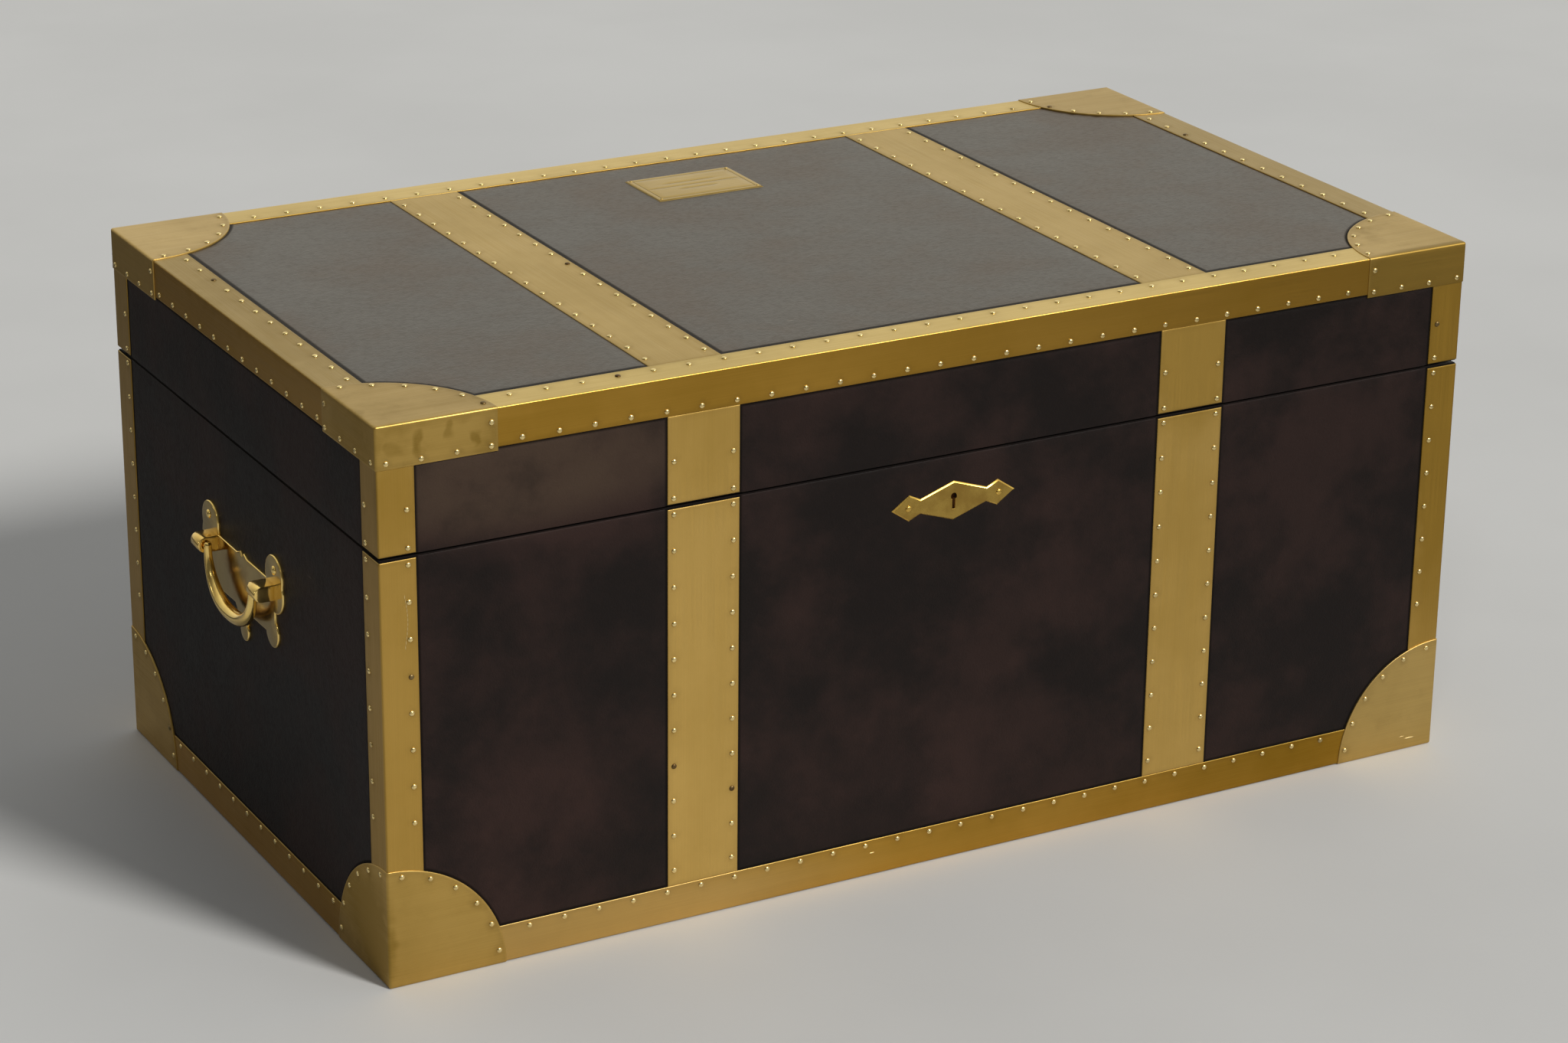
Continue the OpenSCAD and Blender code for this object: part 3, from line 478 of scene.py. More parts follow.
class Nodes:
    """A short way to write a node tree."""

    def __init__(self, tree):
        self.tree = tree

    def node(self, kind, inputs=None, **settings):
        made = self.tree.nodes.new("ShaderNode" + kind)
        for key, value in settings.items():
            setattr(made, key, value)
        for key, value in (inputs or {}).items():
            self.set(made.inputs[key], value)
        return made

    def set(self, socket, value):
        if isinstance(value, bpy.types.NodeSocket):
            self.tree.links.new(value, socket)
        else:
            socket.default_value = value

    def math(self, kind, a, b=0.0):
        return self.node("Math", {0: a, 1: b}, operation=kind).outputs[0]

    def plus(self, a, b):
        return self.math("ADD", a, b)

    def times(self, a, b):
        return self.math("MULTIPLY", a, b)

    def more(self, base, *parts):
        """A value with others added to it, as (value, how much of it)."""
        for value, amount in parts:
            base = self.plus(base, self.times(value, amount))
        return base

    def minus(self, a, b):
        return self.math("SUBTRACT", a, b)

    def least(self, a, b):
        return self.math("MINIMUM", a, b)

    def most(self, a, b):
        return self.math("MAXIMUM", a, b)

    def vector(self, kind, a, b=None):
        made = self.node("VectorMath", {0: a} if b is None else {0: a, 1: b}, operation=kind)
        return made.outputs["Value" if kind in ("LENGTH", "DISTANCE", "DOT_PRODUCT") else "Vector"]

    def axis(self, where, name):
        return self.node("SeparateXYZ", {0: where}).outputs[name]

    def ramp(self, value, low, high, a=0.0, b=1.0):
        ends = {"From Min": low, "From Max": high, "To Min": a, "To Max": b}
        made = self.node("MapRange", {"Value": value, **ends}, interpolation_type="SMOOTHSTEP")
        return made.outputs[0]

    def mix(self, share, a, b):
        made = self.node("Mix", data_type="RGBA")
        self.set(made.inputs["Factor"], share)
        self.set(made.inputs[6], a)
        self.set(made.inputs[7], b)
        return made.outputs[2]

    def noise(self, where, scale, detail=3.0, rough=0.55):
        form = {"Vector": where, "Scale": scale, "Detail": detail, "Roughness": rough}
        return self.node("TexNoise", form).outputs["Fac"]

    def colour_noise(self, where, detail):
        return self.node("TexNoise", {"Vector": where, "Scale": 60.0, "Detail": detail}).outputs[1]

    def stretched(self, where, scale):
        return self.node("Mapping", {"Vector": where, "Scale": scale}).outputs[0]

    def bump(self, *layers):
        """Bumps laid one over another, as (height, strength, distance in metres)."""
        under = {}
        for height, strength, distance in layers:
            form = {"Height": height, "Strength": strength, "Distance": distance, **under}
            under = {"Normal": self.node("Bump", form).outputs[0]}
        return under["Normal"]

    def place(self):
        return self.node("TexCoord").outputs["Object"]

    def grime_and_painted_light(self):
        return self.node("Attribute", attribute_name="grime_and_painted_light").outputs["Fac"]

    def spot(self, place, centre, size):
        """1 in the middle of an ellipsoid, 0 outside it, with a soft border; lengths in mm."""
        at = self.vector("SUBTRACT", place, [c * MM for c in centre])
        at = self.vector("DIVIDE", at, [c * MM for c in size])
        return self.ramp(self.vector("LENGTH", at), 0.35, 1.0, 1.0, 0.0)

    def spots(self, place, found):
        """The strongest of several spots, as (centre, size, strength)."""
        total = 0.0
        for centre, size, strength in found:
            total = self.most(total, self.times(self.spot(place, centre, size), strength))
        return total


class Material(Nodes):
    def __init__(self, name):
        self.material = bpy.data.materials.new(name)
        self.material.use_nodes = True
        super().__init__(self.material.node_tree)
        self.shader = self.tree.nodes["Principled BSDF"]

    def finish(self, **inputs):
        for key, value in inputs.items():
            self.set(self.shader.inputs[key.replace("_", " ")], value)
        return self.material


def srgb(r, g, b):
    """Linear colour from 8-bit sRGB numbers."""
    shares = [c / 255 for c in (r, g, b)]
    return (*(c / 12.92 if c <= 0.04045 else ((c + 0.055) / 1.055) ** 2.4 for c in shares), 1.0)


# the dark tone of dirt and of painted shade
GRIME_AND_SHADE_COLOUR = srgb(46, 33, 16)


def brushed_brass(
    name, upright, level, roughness=0.3, tarnish=0.3, spots=0.0, stains_and_shade=(), nicks_and_light=(), ends=None
):
    """Brushed sheet in an upright and a level tone, dull where it has tarnished: painted light, the
    level faces mostly paler as the top catches more light.
    Strips along the chest's ends can take another level tone, a painted shade on their top flanges."""
    m = Material(name)
    uv = m.node("UVMap", uv_map="strip").outputs[0]
    where = m.node("TexCoord")
    place = where.outputs["Object"]
    fine = m.noise(m.stretched(uv, (9, 1500, 1)), 1.0, 4.0, 0.6)
    broad = m.noise(m.stretched(uv, (3.5, 90, 1)), 1.0, 3.0, 0.6)
    cloud = m.noise(place, 7.0, 5.0, 0.6)
    patch = m.noise(place, 26.0, 4.0, 0.65)
    share = m.times(m.ramp(cloud, 0.36, 0.68), tarnish)
    share = m.more(share, (m.ramp(broad, 0.35, 0.7), 0.1), (m.ramp(fine, 0.3, 0.75), 0.14))
    if spots:
        share = m.more(share, (m.ramp(patch, 0.52, 0.72), spots))
    wavy = m.vector("SUBTRACT", m.colour_noise(place, 1.5), (0.5, 0.5, 0.5))
    wavy = m.vector("ADD", place, m.vector("MULTIPLY", wavy, (0.02, 0.0, 0.02)))
    # real stains and painted shade
    share = m.plus(share, m.spots(wavy, stains_and_shade))
    # bright nicks, and broad spots of painted light
    bare_and_lit = m.spots(place, nicks_and_light)
    # dirt, and painted shade where positive; a painted highlight on the caps' rims where negative
    worn = m.grime_and_painted_light()
    # painted highlight on the caps' rims, bright nicks and broad painted light
    bright_wear_and_light = m.most(m.times(worn, -1.0), bare_and_lit)
    grime_and_painted_light = m.times(m.most(worn, 0.0), m.ramp(patch, 0.25, 0.7, 0.45, 1.0))
    facing_for_painted_light = m.axis(where.outputs["Normal"], "Z")
    # painted shade: the strips along the chest's ends take the ends tone on their level faces
    if ends:
        side = m.math("ABSOLUTE", m.axis(place, "X"))
        level = m.mix(m.math("GREATER_THAN", side, (HALF_W - BAND_W - 1) * MM), level, ends)
    # painted light: level faces take the level tone and upright ones the upright tone
    clean = m.mix(m.ramp(facing_for_painted_light, 0.3, 0.9), upright, level)
    dull = m.node("HueSaturation", {"Saturation": 1.06, "Value": 0.62, "Color": clean})
    colour = m.mix(m.least(share, 1.0), clean, dull.outputs[0])
    colour = m.mix(m.times(grime_and_painted_light, 0.7), colour, GRIME_AND_SHADE_COLOUR)
    colour = m.mix(bright_wear_and_light, colour, srgb(240, 220, 168))
    rough = m.more(roughness, (m.ramp(fine, 0.25, 0.75), 0.12), (share, 0.12), (grime_and_painted_light, 0.25))
    dents = m.noise(place, 55.0, 2.0)
    height = m.bump((fine, 0.3, 0.00004), (dents, 0.25, 0.0002), (bare_and_lit, 1.0, 0.0003))
    tangent = m.node("Tangent", direction_type="UV_MAP", uv_map="strip").outputs[0]
    m.finish(Base_Color=colour, Metallic=1.0, Roughness=rough, Normal=height)
    return m.finish(Anisotropic=0.35, Tangent=tangent)


def cast_brass(name, clean, dull, roughness=0.2, tarnish=0.4, per_piece=0.0):
    """Cast or turned brass; per_piece dulls a few heads of a row altogether."""
    m = Material(name)
    place = m.place()
    cloud = m.noise(place, 45.0, 4.0, 0.6)
    fine = m.noise(place, 420.0, 3.0, 0.6)
    share = m.times(m.ramp(cloud, 0.4, 0.68), tarnish)
    if per_piece:
        each = m.node("NewGeometry").outputs["Random Per Island"]
        share = m.more(share, (m.ramp(each, 0.945, 0.975), per_piece))
    colour = m.mix(m.least(share, 1.0), clean, dull)
    colour = m.mix(m.times(m.grime_and_painted_light(), 0.7), colour, GRIME_AND_SHADE_COLOUR)
    rough = m.more(roughness, (share, 0.25), (fine, 0.08))
    height = m.bump((fine, 0.3, 0.00004), (cloud, 0.3, 0.0003))
    return m.finish(Base_Color=colour, Metallic=1.0, Roughness=rough, Normal=height)


def steel(name):
    m = Material(name)
    place = m.place()
    grain = m.noise(m.stretched(place, (40, 900, 900)), 1.0, 3.0)
    cloud = m.noise(place, 40.0, 4.0)
    colour = m.mix(m.ramp(cloud, 0.4, 0.7), srgb(168, 166, 160), srgb(112, 106, 98))
    rough = m.more(0.28, (m.ramp(cloud, 0.35, 0.7), 0.22))
    height = m.bump((grain, 0.3, 0.00005))
    return m.finish(Base_Color=colour, Metallic=1.0, Roughness=rough, Normal=height)


# how far the painted shadow beside the brass on top is shifted
SHADOW_SHIFT = (0.0024, 0.0036, 0.0)


def brass_shadow_line(m, place, top):
    """A painted shadow: 1 on the leather right beside the brass, fading within a few millimetres.
    On top it is shifted as a painted drop shadow, thin on the panels' right and back sides and wide
    on the others."""
    if top:
        place = m.vector("SUBTRACT", place, SHADOW_SHIFT)
    x = m.math("ABSOLUTE", m.axis(place, "X"))
    y = m.math("ABSOLUTE", m.axis(place, "Y"))
    z = m.axis(place, "Z")

    def inside(limit, value):
        return m.minus(limit * MM, value)

    def span(a, b):
        return m.vector("LENGTH", m.node("CombineXYZ", {0: a, 1: b}).outputs[0])

    strap = m.math("ABSOLUTE", m.minus(x, STRAP_X * MM))
    strap = m.minus(strap, STRAP_W / 2 * MM)
    if top:
        border = m.least(inside(HALF_W - BAND_W, x), inside(HALF_D - BAND_W, y))
        cap = span(inside(HALF_W, x), inside(HALF_D, y))
    else:
        border = m.most(inside(HALF_W - POST_W, x), inside(HALF_D - POST_W, y))
        border = m.least(border, m.minus(z, BAND_W * MM))
        border = m.least(border, inside(HIGH - BAND_W, z))
        cap = m.most(span(inside(HALF_W, x), z), span(inside(HALF_D, y), z))
    gap = m.least(m.least(border, strap), m.minus(cap, CAP_R * MM))
    return m.ramp(gap, 0.0006, 0.0034, 1.0, 0.0)


def leather(name, dark, light, mottle, roughness, gloss, top, scuffs, lit_patches=(), painted_light=()):
    m = Material(name)
    place = m.place()
    warped = m.vector("MULTIPLY", m.colour_noise(place, 2.0), (0.004, 0.004, 0.004))
    warped = m.vector("ADD", place, warped)
    cells = {"Vector": warped, "Scale": 620.0, "Randomness": 1.0}
    pebble = m.node("TexVoronoi", cells, feature="SMOOTH_F1").outputs["Distance"]
    crease = m.noise(m.stretched(warped, (150, 240, 190)), 1.0, 5.0, 0.65)
    cloud = m.noise(place, 8.0, 6.0, 0.62)
    blotch = m.noise(place, 21.0, 5.0, 0.6)
    speck = m.noise(place, 480.0, 2.0)
    share = m.times(m.ramp(cloud, 0.4, 0.66), mottle)
    # lit_patches paint light as lighter, mottled patches
    share = m.more(
        share,
        (m.ramp(blotch, 0.5, 0.75), 0.3 * mottle),
        (m.ramp(speck, 0.5, 0.8), 0.12),
        (m.spots(place, lit_patches), m.ramp(blotch, 0.2, 0.6)),
    )
    colour = m.mix(m.least(share, 1.3), dark, light)
    # painted light: a paler, greyish patch
    if painted_light:
        pale = m.times(m.spots(place, painted_light), m.ramp(blotch, 0.2, 0.6, 0.5, 1.0))
        colour = m.mix(pale, colour, srgb(66, 52, 40))
    shadow_line = brass_shadow_line(m, place, top)
    # painted shadow beside the brass
    colour = m.mix(m.times(shadow_line, 0.85), colour, srgb(8, 6, 4))
    worn = m.spots(place, scuffs)
    colour = m.mix(worn, colour, srgb(96, 82, 68))
    creased = (m.ramp(crease, 0.4, 0.7), 0.07)
    rough = m.more(roughness, (m.ramp(cloud, 0.35, 0.7), 0.08), (shadow_line, 0.6), creased)
    height = m.bump(
        (pebble, 0.5, 0.0003),
        (crease, 0.38, 0.0006),
        (m.noise(place, 34.0, 3.0), 0.35, 0.0012),
        (m.minus(0.0, worn), 0.6, 0.0006),
    )
    return m.finish(
        Base_Color=colour, Roughness=rough, Specular_IOR_Level=gloss, Normal=height
    )


def wood(name, along, light, dark):
    """Plain sawn board with faint growth rings along one axis, dark at the rims by the seam."""
    m = Material(name)
    place = m.place()
    scale = [0.9 if k == along else 34.0 for k in range(3)]
    fibre = [7.0 if k == along else 700.0 for k in range(3)]
    wave = m.noise(m.stretched(place, scale), 1.0, 3.0, 0.5)
    rings = m.math("FRACT", m.times(wave, 9.0))
    rings = m.math("ABSOLUTE", m.minus(m.times(rings, 2.0), 1.0))
    grain = m.noise(m.stretched(place, fibre), 1.0, 4.0, 0.6)
    cloud = m.noise(place, 5.0, 3.0)
    share = m.times(m.math("POWER", rings, 3.0), 0.35)
    share = m.more(share, (m.ramp(grain, 0.3, 0.75), 0.35), (m.ramp(cloud, 0.3, 0.7), 0.3))
    colour = m.mix(share, light, dark)
    rim = m.math("ABSOLUTE", m.minus(m.axis(place, "Z"), SEAM * MM))
    colour = m.mix(m.ramp(rim, 0.0022, 0.0034, 1.0, 0.0), colour, srgb(22, 15, 12))
    height = m.bump((grain, 0.3, 0.0002))
    rough = m.more(0.55, (grain, 0.15))
    return m.finish(Base_Color=colour, Roughness=rough, Normal=height)


# Marks of wear, and spots of painted shade and painted light, as (centre, size, strength)
# painted shade on the right end of the bottom band and on the left top band's flange
BAND_PAINTED_SHADE = [((380, -300, 18), (260, 12, 40), 0.5), ((-525, 0, 500), (40, 340, 12), 0.35)]
# a real nick, and a broad painted light over the bottom band's left part
BAND_NICKS_AND_LIGHT = [((-75, -300, 22), (3.5, 3, 0.6), 0.9), ((-360, -300, 14), (330, 12, 44), 0.19)]
# painted shade on the right post and on the left post's upper part
POST_PAINTED_SHADE = [((525, -300, 330), (40, 12, 300), 0.85), ((-523, -300, 430), (36, 12, 70), 0.45)]
POST_NICKS = [
    ((-517 + 2.2 * math.sin(k * 0.3), -300, 350 - 4 * k), (0.5, 3, 2.6), 0.55) for k in range(12)
]
# painted shade on the right straps and on the left lid strap
STRAP_PAINTED_SHADE = [
    ((244, -300, 430), (60, 12, 110), 0.9),
    ((244, -300, 250), (60, 12, 170), 0.3),
    ((-244, -300, 430), (60, 12, 80), 0.35),
]
# small real stains on the lid caps; the broad spots are painted shade on the right lid cap's front,
# the left caps' ends and the left lid cap's top
CAP_STAINS_AND_SHADE = [
    ((-503, -300, 482), (7, 6, 13), 0.75),
    ((-475, -300, 488), (6, 6, 11), 0.6),
    ((-453, -300, 475), (6, 6, 8), 0.7),
    ((-526, -300, 478), (11, 6, 9), 0.35),
    ((480, -230, 500), (22, 14, 6), 0.25),
    ((500, -300, 478), (110, 12, 60), 1.0),
    ((-540, -262, 46), (12, 70, 70), 0.8),
    ((-540, -255, 480), (12, 70, 50), 0.6),
    ((-480, -240, 500), (130, 130, 12), 0.4),
]
# real nicks on the right base cap, and a broad painted light over its front
CAP_NICKS_AND_LIGHT = [
    ((514, -300, 11), (8, 3, 0.7), 0.8),
    ((505, -300, 14), (4, 3, 0.5), 0.6),
    ((480, -300, 60), (120, 12, 110), 0.12),
]
# painted light: lighter, mottled patches on the front leather, mostly to the left where more light
# falls
SIDE_LIT_PATCHES = [
    ((-400, -300, 425), (170, 40, 75), 1.1),
    ((-420, -300, 90), (120, 40, 110), 0.7),
    ((-60, -300, 90), (200, 40, 90), 0.35),
]
# painted light: a pale, greyish patch on the lid's front at the left
SIDE_PAINTED_LIGHT = [((-410, -300, 438), (220, 40, 62), 0.75)]
SIDE_SCUFFS = [((-540, -150, 318), (3, 9, 1.2), 0.35)]
LID_SCUFFS = [((-115, -212, 498), (5, 2, 3), 0.5), ((-108, -209, 498), (3, 1, 3), 0.4)]

# Each brass has an upright and a level tone, painted light of how its faces catch the light; the
# bands' ends tone is a painted shade on the end bands' top flanges
band_brass = brushed_brass(
    "band_brass", srgb(184, 142, 60), srgb(212, 183, 108), 0.3, stains_and_shade=BAND_PAINTED_SHADE, nicks_and_light=BAND_NICKS_AND_LIGHT,
    ends=srgb(168, 142, 84),
)
strap_brass = brushed_brass(
    "strap_brass", srgb(194, 160, 90), srgb(184, 156, 94), 0.34, stains_and_shade=STRAP_PAINTED_SHADE
)
angle_brass = brushed_brass(
    "angle_brass", srgb(179, 144, 73), srgb(196, 168, 104), 0.32, stains_and_shade=POST_PAINTED_SHADE, nicks_and_light=POST_NICKS
)
cap_brass = brushed_brass(
    "cap_brass", srgb(194, 160, 88), srgb(192, 162, 98), 0.33, 0.35, 0.22, CAP_STAINS_AND_SHADE, CAP_NICKS_AND_LIGHT
)
plate_brass = brushed_brass("plate_brass", srgb(206, 176, 104), srgb(190, 162, 98), 0.3, 0.25)
nail_brass = cast_brass("nail_brass", srgb(234, 210, 146), srgb(84, 62, 36), 0.18, 0.2, 0.9)
keyhole_brass = cast_brass("cast_brass", srgb(222, 184, 92), srgb(168, 126, 56), 0.19, 0.5)
handle_brass = cast_brass("handle_brass", srgb(252, 218, 132), srgb(208, 162, 80), 0.1, 0.35)
fitting_brass = cast_brass("fitting_brass", srgb(200, 170, 96), srgb(140, 110, 60), 0.3, 0.5)
lock_steel = steel("lock_steel")
side_leather = leather(
    "side_leather", srgb(15, 8, 6), srgb(41, 26, 22), 0.7, 0.5, 0.16, False,
    SIDE_SCUFFS, SIDE_LIT_PATCHES, SIDE_PAINTED_LIGHT,
)
# painted light: the top's leather is the sides' leather in a paler, warmer colour, as the top catches
# more light
lid_leather = leather(
    "lid_leather", srgb(40, 28, 14), srgb(64, 47, 30), 0.7, 0.36, 0.62, True, LID_SCUFFS
)
wood_long = wood("wood_long", 0, srgb(172, 133, 92), srgb(128, 90, 56))
wood_deep = wood("wood_deep", 1, srgb(168, 129, 88), srgb(124, 87, 54))


# Brass strips


def bands(z, body, name, node):
    """The four angle bands round the bottom edge, or round the top edge."""
    shape = Shape()
    for face in UPRIGHT_FACES:
        wide = face in WIDE_FACES
        half, row, nail_in = (HALF_W, LONG_ROW, LONG_IN) if wide else (HALF_D, SHORT_ROW, SHORT_IN)
        ways = ((0, 0, 1 if z == 0 else -1), -NORMALS[face])
        nail_at = (BAND_W - NAIL_EDGE, BAND_W - NAIL_EDGE - nail_in)
        angle_strip(
            shape, lambda s: on_face(face, s, z), ways, UNDER_CAP - half, half - UNDER_CAP, BAND_W,
            nail_at, nail_points(body, CAP_T), row[0],
        )
    shape.build(name, band_brass, body, node, "band_brass")


def posts(low, high, row, body, name, node):
    """The angle strips up the four corners."""
    shape = Shape()
    for sy in (-1, 1):
        for sx in (-1, 1):
            angle_strip(
                shape, lambda s: (sx * HALF_W, sy * HALF_D, s), ((-sx, 0, 0), (0, -sy, 0)), low,
                high, POST_W, (POST_NAIL, POST_NAIL), nail_points(body, CAP_T), row[0],
            )
    shape.build(name, angle_brass, body, node, "angle_brass")


def straps(faces, low, high, row, body, name, node):
    shape = Shape()
    nails = nail_points(body, SKIN - STRAP_T)
    for face in faces:
        for side in (-1, 1):
            flat_strip(shape, face, low, high, side * STRAP_X, nails, row[0])
    shape.build(name, strap_brass, body, node, "strap_brass")


BASE_EDGE = STRAP_HIGH_Z + SEAM_EDGE
LID_EDGE = STRAP_LOW_Z - SEAM_EDGE
TOP_EDGE = HALF_D - BAND_W
bands(0.0, "base", "bottom_bands", "base_bottom_bands")
bands(HIGH, "lid", "top_bands", "lid_top_bands")
posts(UNDER_CAP, BASE_EDGE, BASE_POST_ROWS, "base", "base_posts", "base_corner_angles")
posts(LID_EDGE, HIGH - UNDER_FLAP, LID_POST_ROWS, "lid", "lid_posts", "lid_corner_angles")
straps(WIDE_FACES, BAND_W, BASE_EDGE, BASE_ROWS, "base", "face_straps", "base_straps")
straps(WIDE_FACES, LID_EDGE, HIGH - BAND_W, LID_ROWS, "lid", "lid_face_strips", "lid_face_straps")
straps(["top"], -TOP_EDGE, TOP_EDGE, TOP_STRAP_ROW, "lid", "top_straps", "lid_top_straps")


# Corner caps


def disc_shares():
    """Shares of the radius for the lines of a round cap, close at both ends."""
    near = [0.0, ROUND * 0.38, ROUND * 0.82, ROUND * 1.27, 5.0]
    inner = [5.0 + (CAP_R - 7.0) * k / 19 for k in range(1, 20)]
    return [x / CAP_R for x in near + inner + [CAP_R - d for d in EDGE[1:]]]


def quarter(a, b):
    """A point of a quarter disc from a place of the unit square."""
    reach = max(a, b) * CAP_R
    if reach == 0:
        return 0.0, 0.0
    turn = math.pi / 4 * min(a, b) / max(a, b)
    x, y = reach * math.cos(turn), reach * math.sin(turn)
    return (x, y) if a >= b else (y, x)


def disc(sheet, place):
    """A quarter disc over one face of the box."""
    shares = disc_shares()
    sheet.grid(shares, shares, place, lambda a, b: CAP_R * (1 - max(a, b)), quarter)


def flap(sheet, place):
    """A straight flap: x along the edge, y down from it."""
    xs = [a * CAP_R for a in disc_shares()]
    ys = BEND + [5 + (CAP_FLAP - 7) * k / 7 for k in range(8)] + [CAP_FLAP - d for d in EDGE[1:]]
    sheet.grid(xs, ys, place, lambda x, y: min(CAP_R - x, CAP_FLAP - y))


def caps(z, body, name, node):
    shape = Shape()
    up, upright = (1, disc) if z == 0 else (-1, flap)
    for x0, sx in ((-HALF_W, -1), (HALF_W, 1)):
        for y0, sy in ((-HALF_D, -1), (HALF_D, 1)):
            sheet = Sheet(0.0, -SKIN)
            disc(sheet, lambda x, y: (x0 - sx * x, y0 - sy * y, z))
            upright(sheet, lambda x, y: (x0 - sx * x, y0, z + up * y))
            upright(sheet, lambda x, y: (x0, y0 - sy * x, z + up * y))
            # the caps' rims get a painted highlight
            sheet.into(shape, nail_points(body, 0), 0.08, edge_painted_light=-0.6)
    shape.build(name, cap_brass, body, node, "cap_brass")


caps(0.0, "base", "bottom_caps", "base_corner_caps")
caps(HIGH, "lid", "top_caps", "lid_corner_caps")


# Nails, pins and screws


def dome(shape, at, normal, radius, height, sunk=0.15, jitter=1.0):
    """A domed head that sits a little in the sheet."""
    draw = random_draw.uniform
    size = radius * (1 + jitter * draw(-0.05, 0.03))
    tall = height * (1 - jitter * draw(0.0, 0.12))
    side = normal.orthogonal().normalized()
    tilt = Matrix.Rotation(jitter * draw(-0.05, 0.05), 3, side)
    tilt = Matrix.Rotation(draw(0, math.tau), 3, normal) @ tilt
    up = tilt @ normal
    side = up.orthogonal().normalized()
    other = up.cross(side)
    centre = Vector(at) + side * jitter * draw(-0.3, 0.3) + other * jitter * draw(-0.3, 0.3)
    ring = 14
    profile = [(1.0, -sunk / tall), (1.0, 0.12), (0.94, 0.42), (0.74, 0.76), (0.42, 0.95)]
    points = []
    for r, h in profile:
        for k in range(ring):
            a = math.tau * k / ring
            spot = centre + (side * math.cos(a) + other * math.sin(a)) * r * size
            points.append(spot + up * h * tall)
    last = len(points) - ring
    points.append(centre + up * tall)
    faces = tube_faces(len(profile), ring, top=False)
    faces += [[last + k, last + (k + 1) % ring, last + ring] for k in range(ring)]
    shape.add(points, faces)


def nail_heads(body, word, faces):
    shape = Shape()
    for face in faces:
        normal = NORMALS[face]
        for u, v, depth in NAILS[body][face]:
            seat = Vector(on_face(face, u, v)) - normal * (depth + 0.1)
            dome(shape, seat, normal, NAIL_R, NAIL_H)
    shape.build(f"{body}_{word}_heads", nail_brass, body, f"{body}_{word}_nails", "nail_brass", 80)


for body in ("base", "lid"):
    nail_heads(body, "front", ["front"])
    nail_heads(body, "back", ["back"])
    nail_heads(body, "side", ["left", "right"])
nail_heads("lid", "top", ["top"])


# Leather


def brass_gap(u, v, boxes, discs):
    """Distance from a place on a face to the nearest brass, 0 under it."""
    best = 1e9
    for u0, u1, v0, v1 in boxes:
        du = max(u0 - u, u - u1, 0.0)
        dv = max(v0 - v, v - v1, 0.0)
        best = min(best, math.hypot(du, dv))
    for cu, cv in discs:
        best = min(best, max(math.hypot(u - cu, v - cv) - CAP_R, 0.0))
    return best


def panel_lines(low, high, marks):
    """Grid lines over a leather sheet, close to each strip's edge."""
    found = {low, high, low + 0.5, low + 1.5, high - 0.5, high - 1.5}
    for m in marks:
        found.update(m + d for d in (-5, -2.5, -1, 0, 1, 2.5, 5) if low < m + d < high)
    ordered = sorted(found)
    out = [ordered[0]]
    for x in ordered[1:]:
        if x - out[-1] < 0.3:
            continue
        count = max(1, round((x - out[-1]) / 9))
        start = out[-1]
        out.extend(start + (x - start) * (k + 1) / count for k in range(count))
    out[-1] = high
    return out


PUFF = 0.42  # how far the leather rises between the strips
PUFF_REACH = 6.0  # from the brass to its full height
GROOVE = 0.4  # how far it dips right beside the brass
GROOVE_W = 1.2
RIM_DIP = 0.35  # how far it dips at the sheet's own edges
RIM_W = 1.5


def leather_sheet(body, face, us, vs, boxes, discs, marks, hole=None):
    """A sheet over one face, puffed between the strips and dipped beside them and at the rims."""
    sheet = Sheet(-SKIN, -SKIN - LEATHER)
    lines_u = panel_lines(us[0], us[1], marks[0])
    lines_v = panel_lines(vs[0], vs[1], marks[1])
    if hole:
        lines_u = sorted([x for x in lines_u if abs(x) > 3] + [-KEYHOLE_HALF, KEYHOLE_HALF])
        lines_v = sorted([x for x in lines_v if not hole[0] - 1 < x < hole[1] + 1] + list(hole))
    sheet.grid(lines_u, lines_v, lambda u, v: on_face(face, u, v))
    if hole:
        kept = []
        for quad, spots in zip(sheet.quads, sheet.maps):
            centre = np.mean([sheet.points[i] for i in quad], axis=0)
            if abs(centre[0]) > KEYHOLE_HALF or not hole[0] < centre[2] < hole[1]:
                kept.append((quad, spots))
        sheet.quads, sheet.maps = map(list, zip(*kept))
    lift = np.zeros(len(sheet.points))
    name = f"{body}_{face}_hide"
    salt = len(name)
    for u in lines_u:
        for v in lines_v:
            gap = min(brass_gap(u, v, boxes, discs) / PUFF_REACH, 1.0)
            puff = gap * gap * (3 - 2 * gap)
            wave = noise.noise(Vector((u * 0.018, v * 0.018, salt)))
            wave += 0.5 * noise.noise(Vector((u * 0.05, v * 0.05, 9.0 + salt)))
            edge = min(u - us[0], us[1] - u, v - vs[0], vs[1] - v)
            dip = RIM_DIP * max(0.0, 1 - edge / RIM_W) ** 2
            dip += GROOVE * max(0.0, 1 - gap * PUFF_REACH / GROOVE_W) * (gap > 0)
            at = sheet.index[tuple(round(c, 3) for c in on_face(face, u, v))]
            lift[at] = puff * (PUFF + 0.16 * wave) - dip
    shape = Shape()
    sheet.into(shape, lift=lift, flat=np.array(NORMALS[face]))
    material, slot = (lid_leather, "lid_leather") if face == "top" else (side_leather, "side_leather")
    shape.build(name, material, body, f"{body}_{face}_leather", slot)


def strap_boxes(low, high):
    half = STRAP_W / 2
    return [(s * STRAP_X - half, s * STRAP_X + half, low, high) for s in (-1, 1)]


STRAP_MARKS = [s * STRAP_X + e * STRAP_W / 2 for s in (-1, 1) for e in (-1, 1)]
KEYHOLE_SPAN = (335.5, 350.0)
KEYHOLE_HALF = 2.2


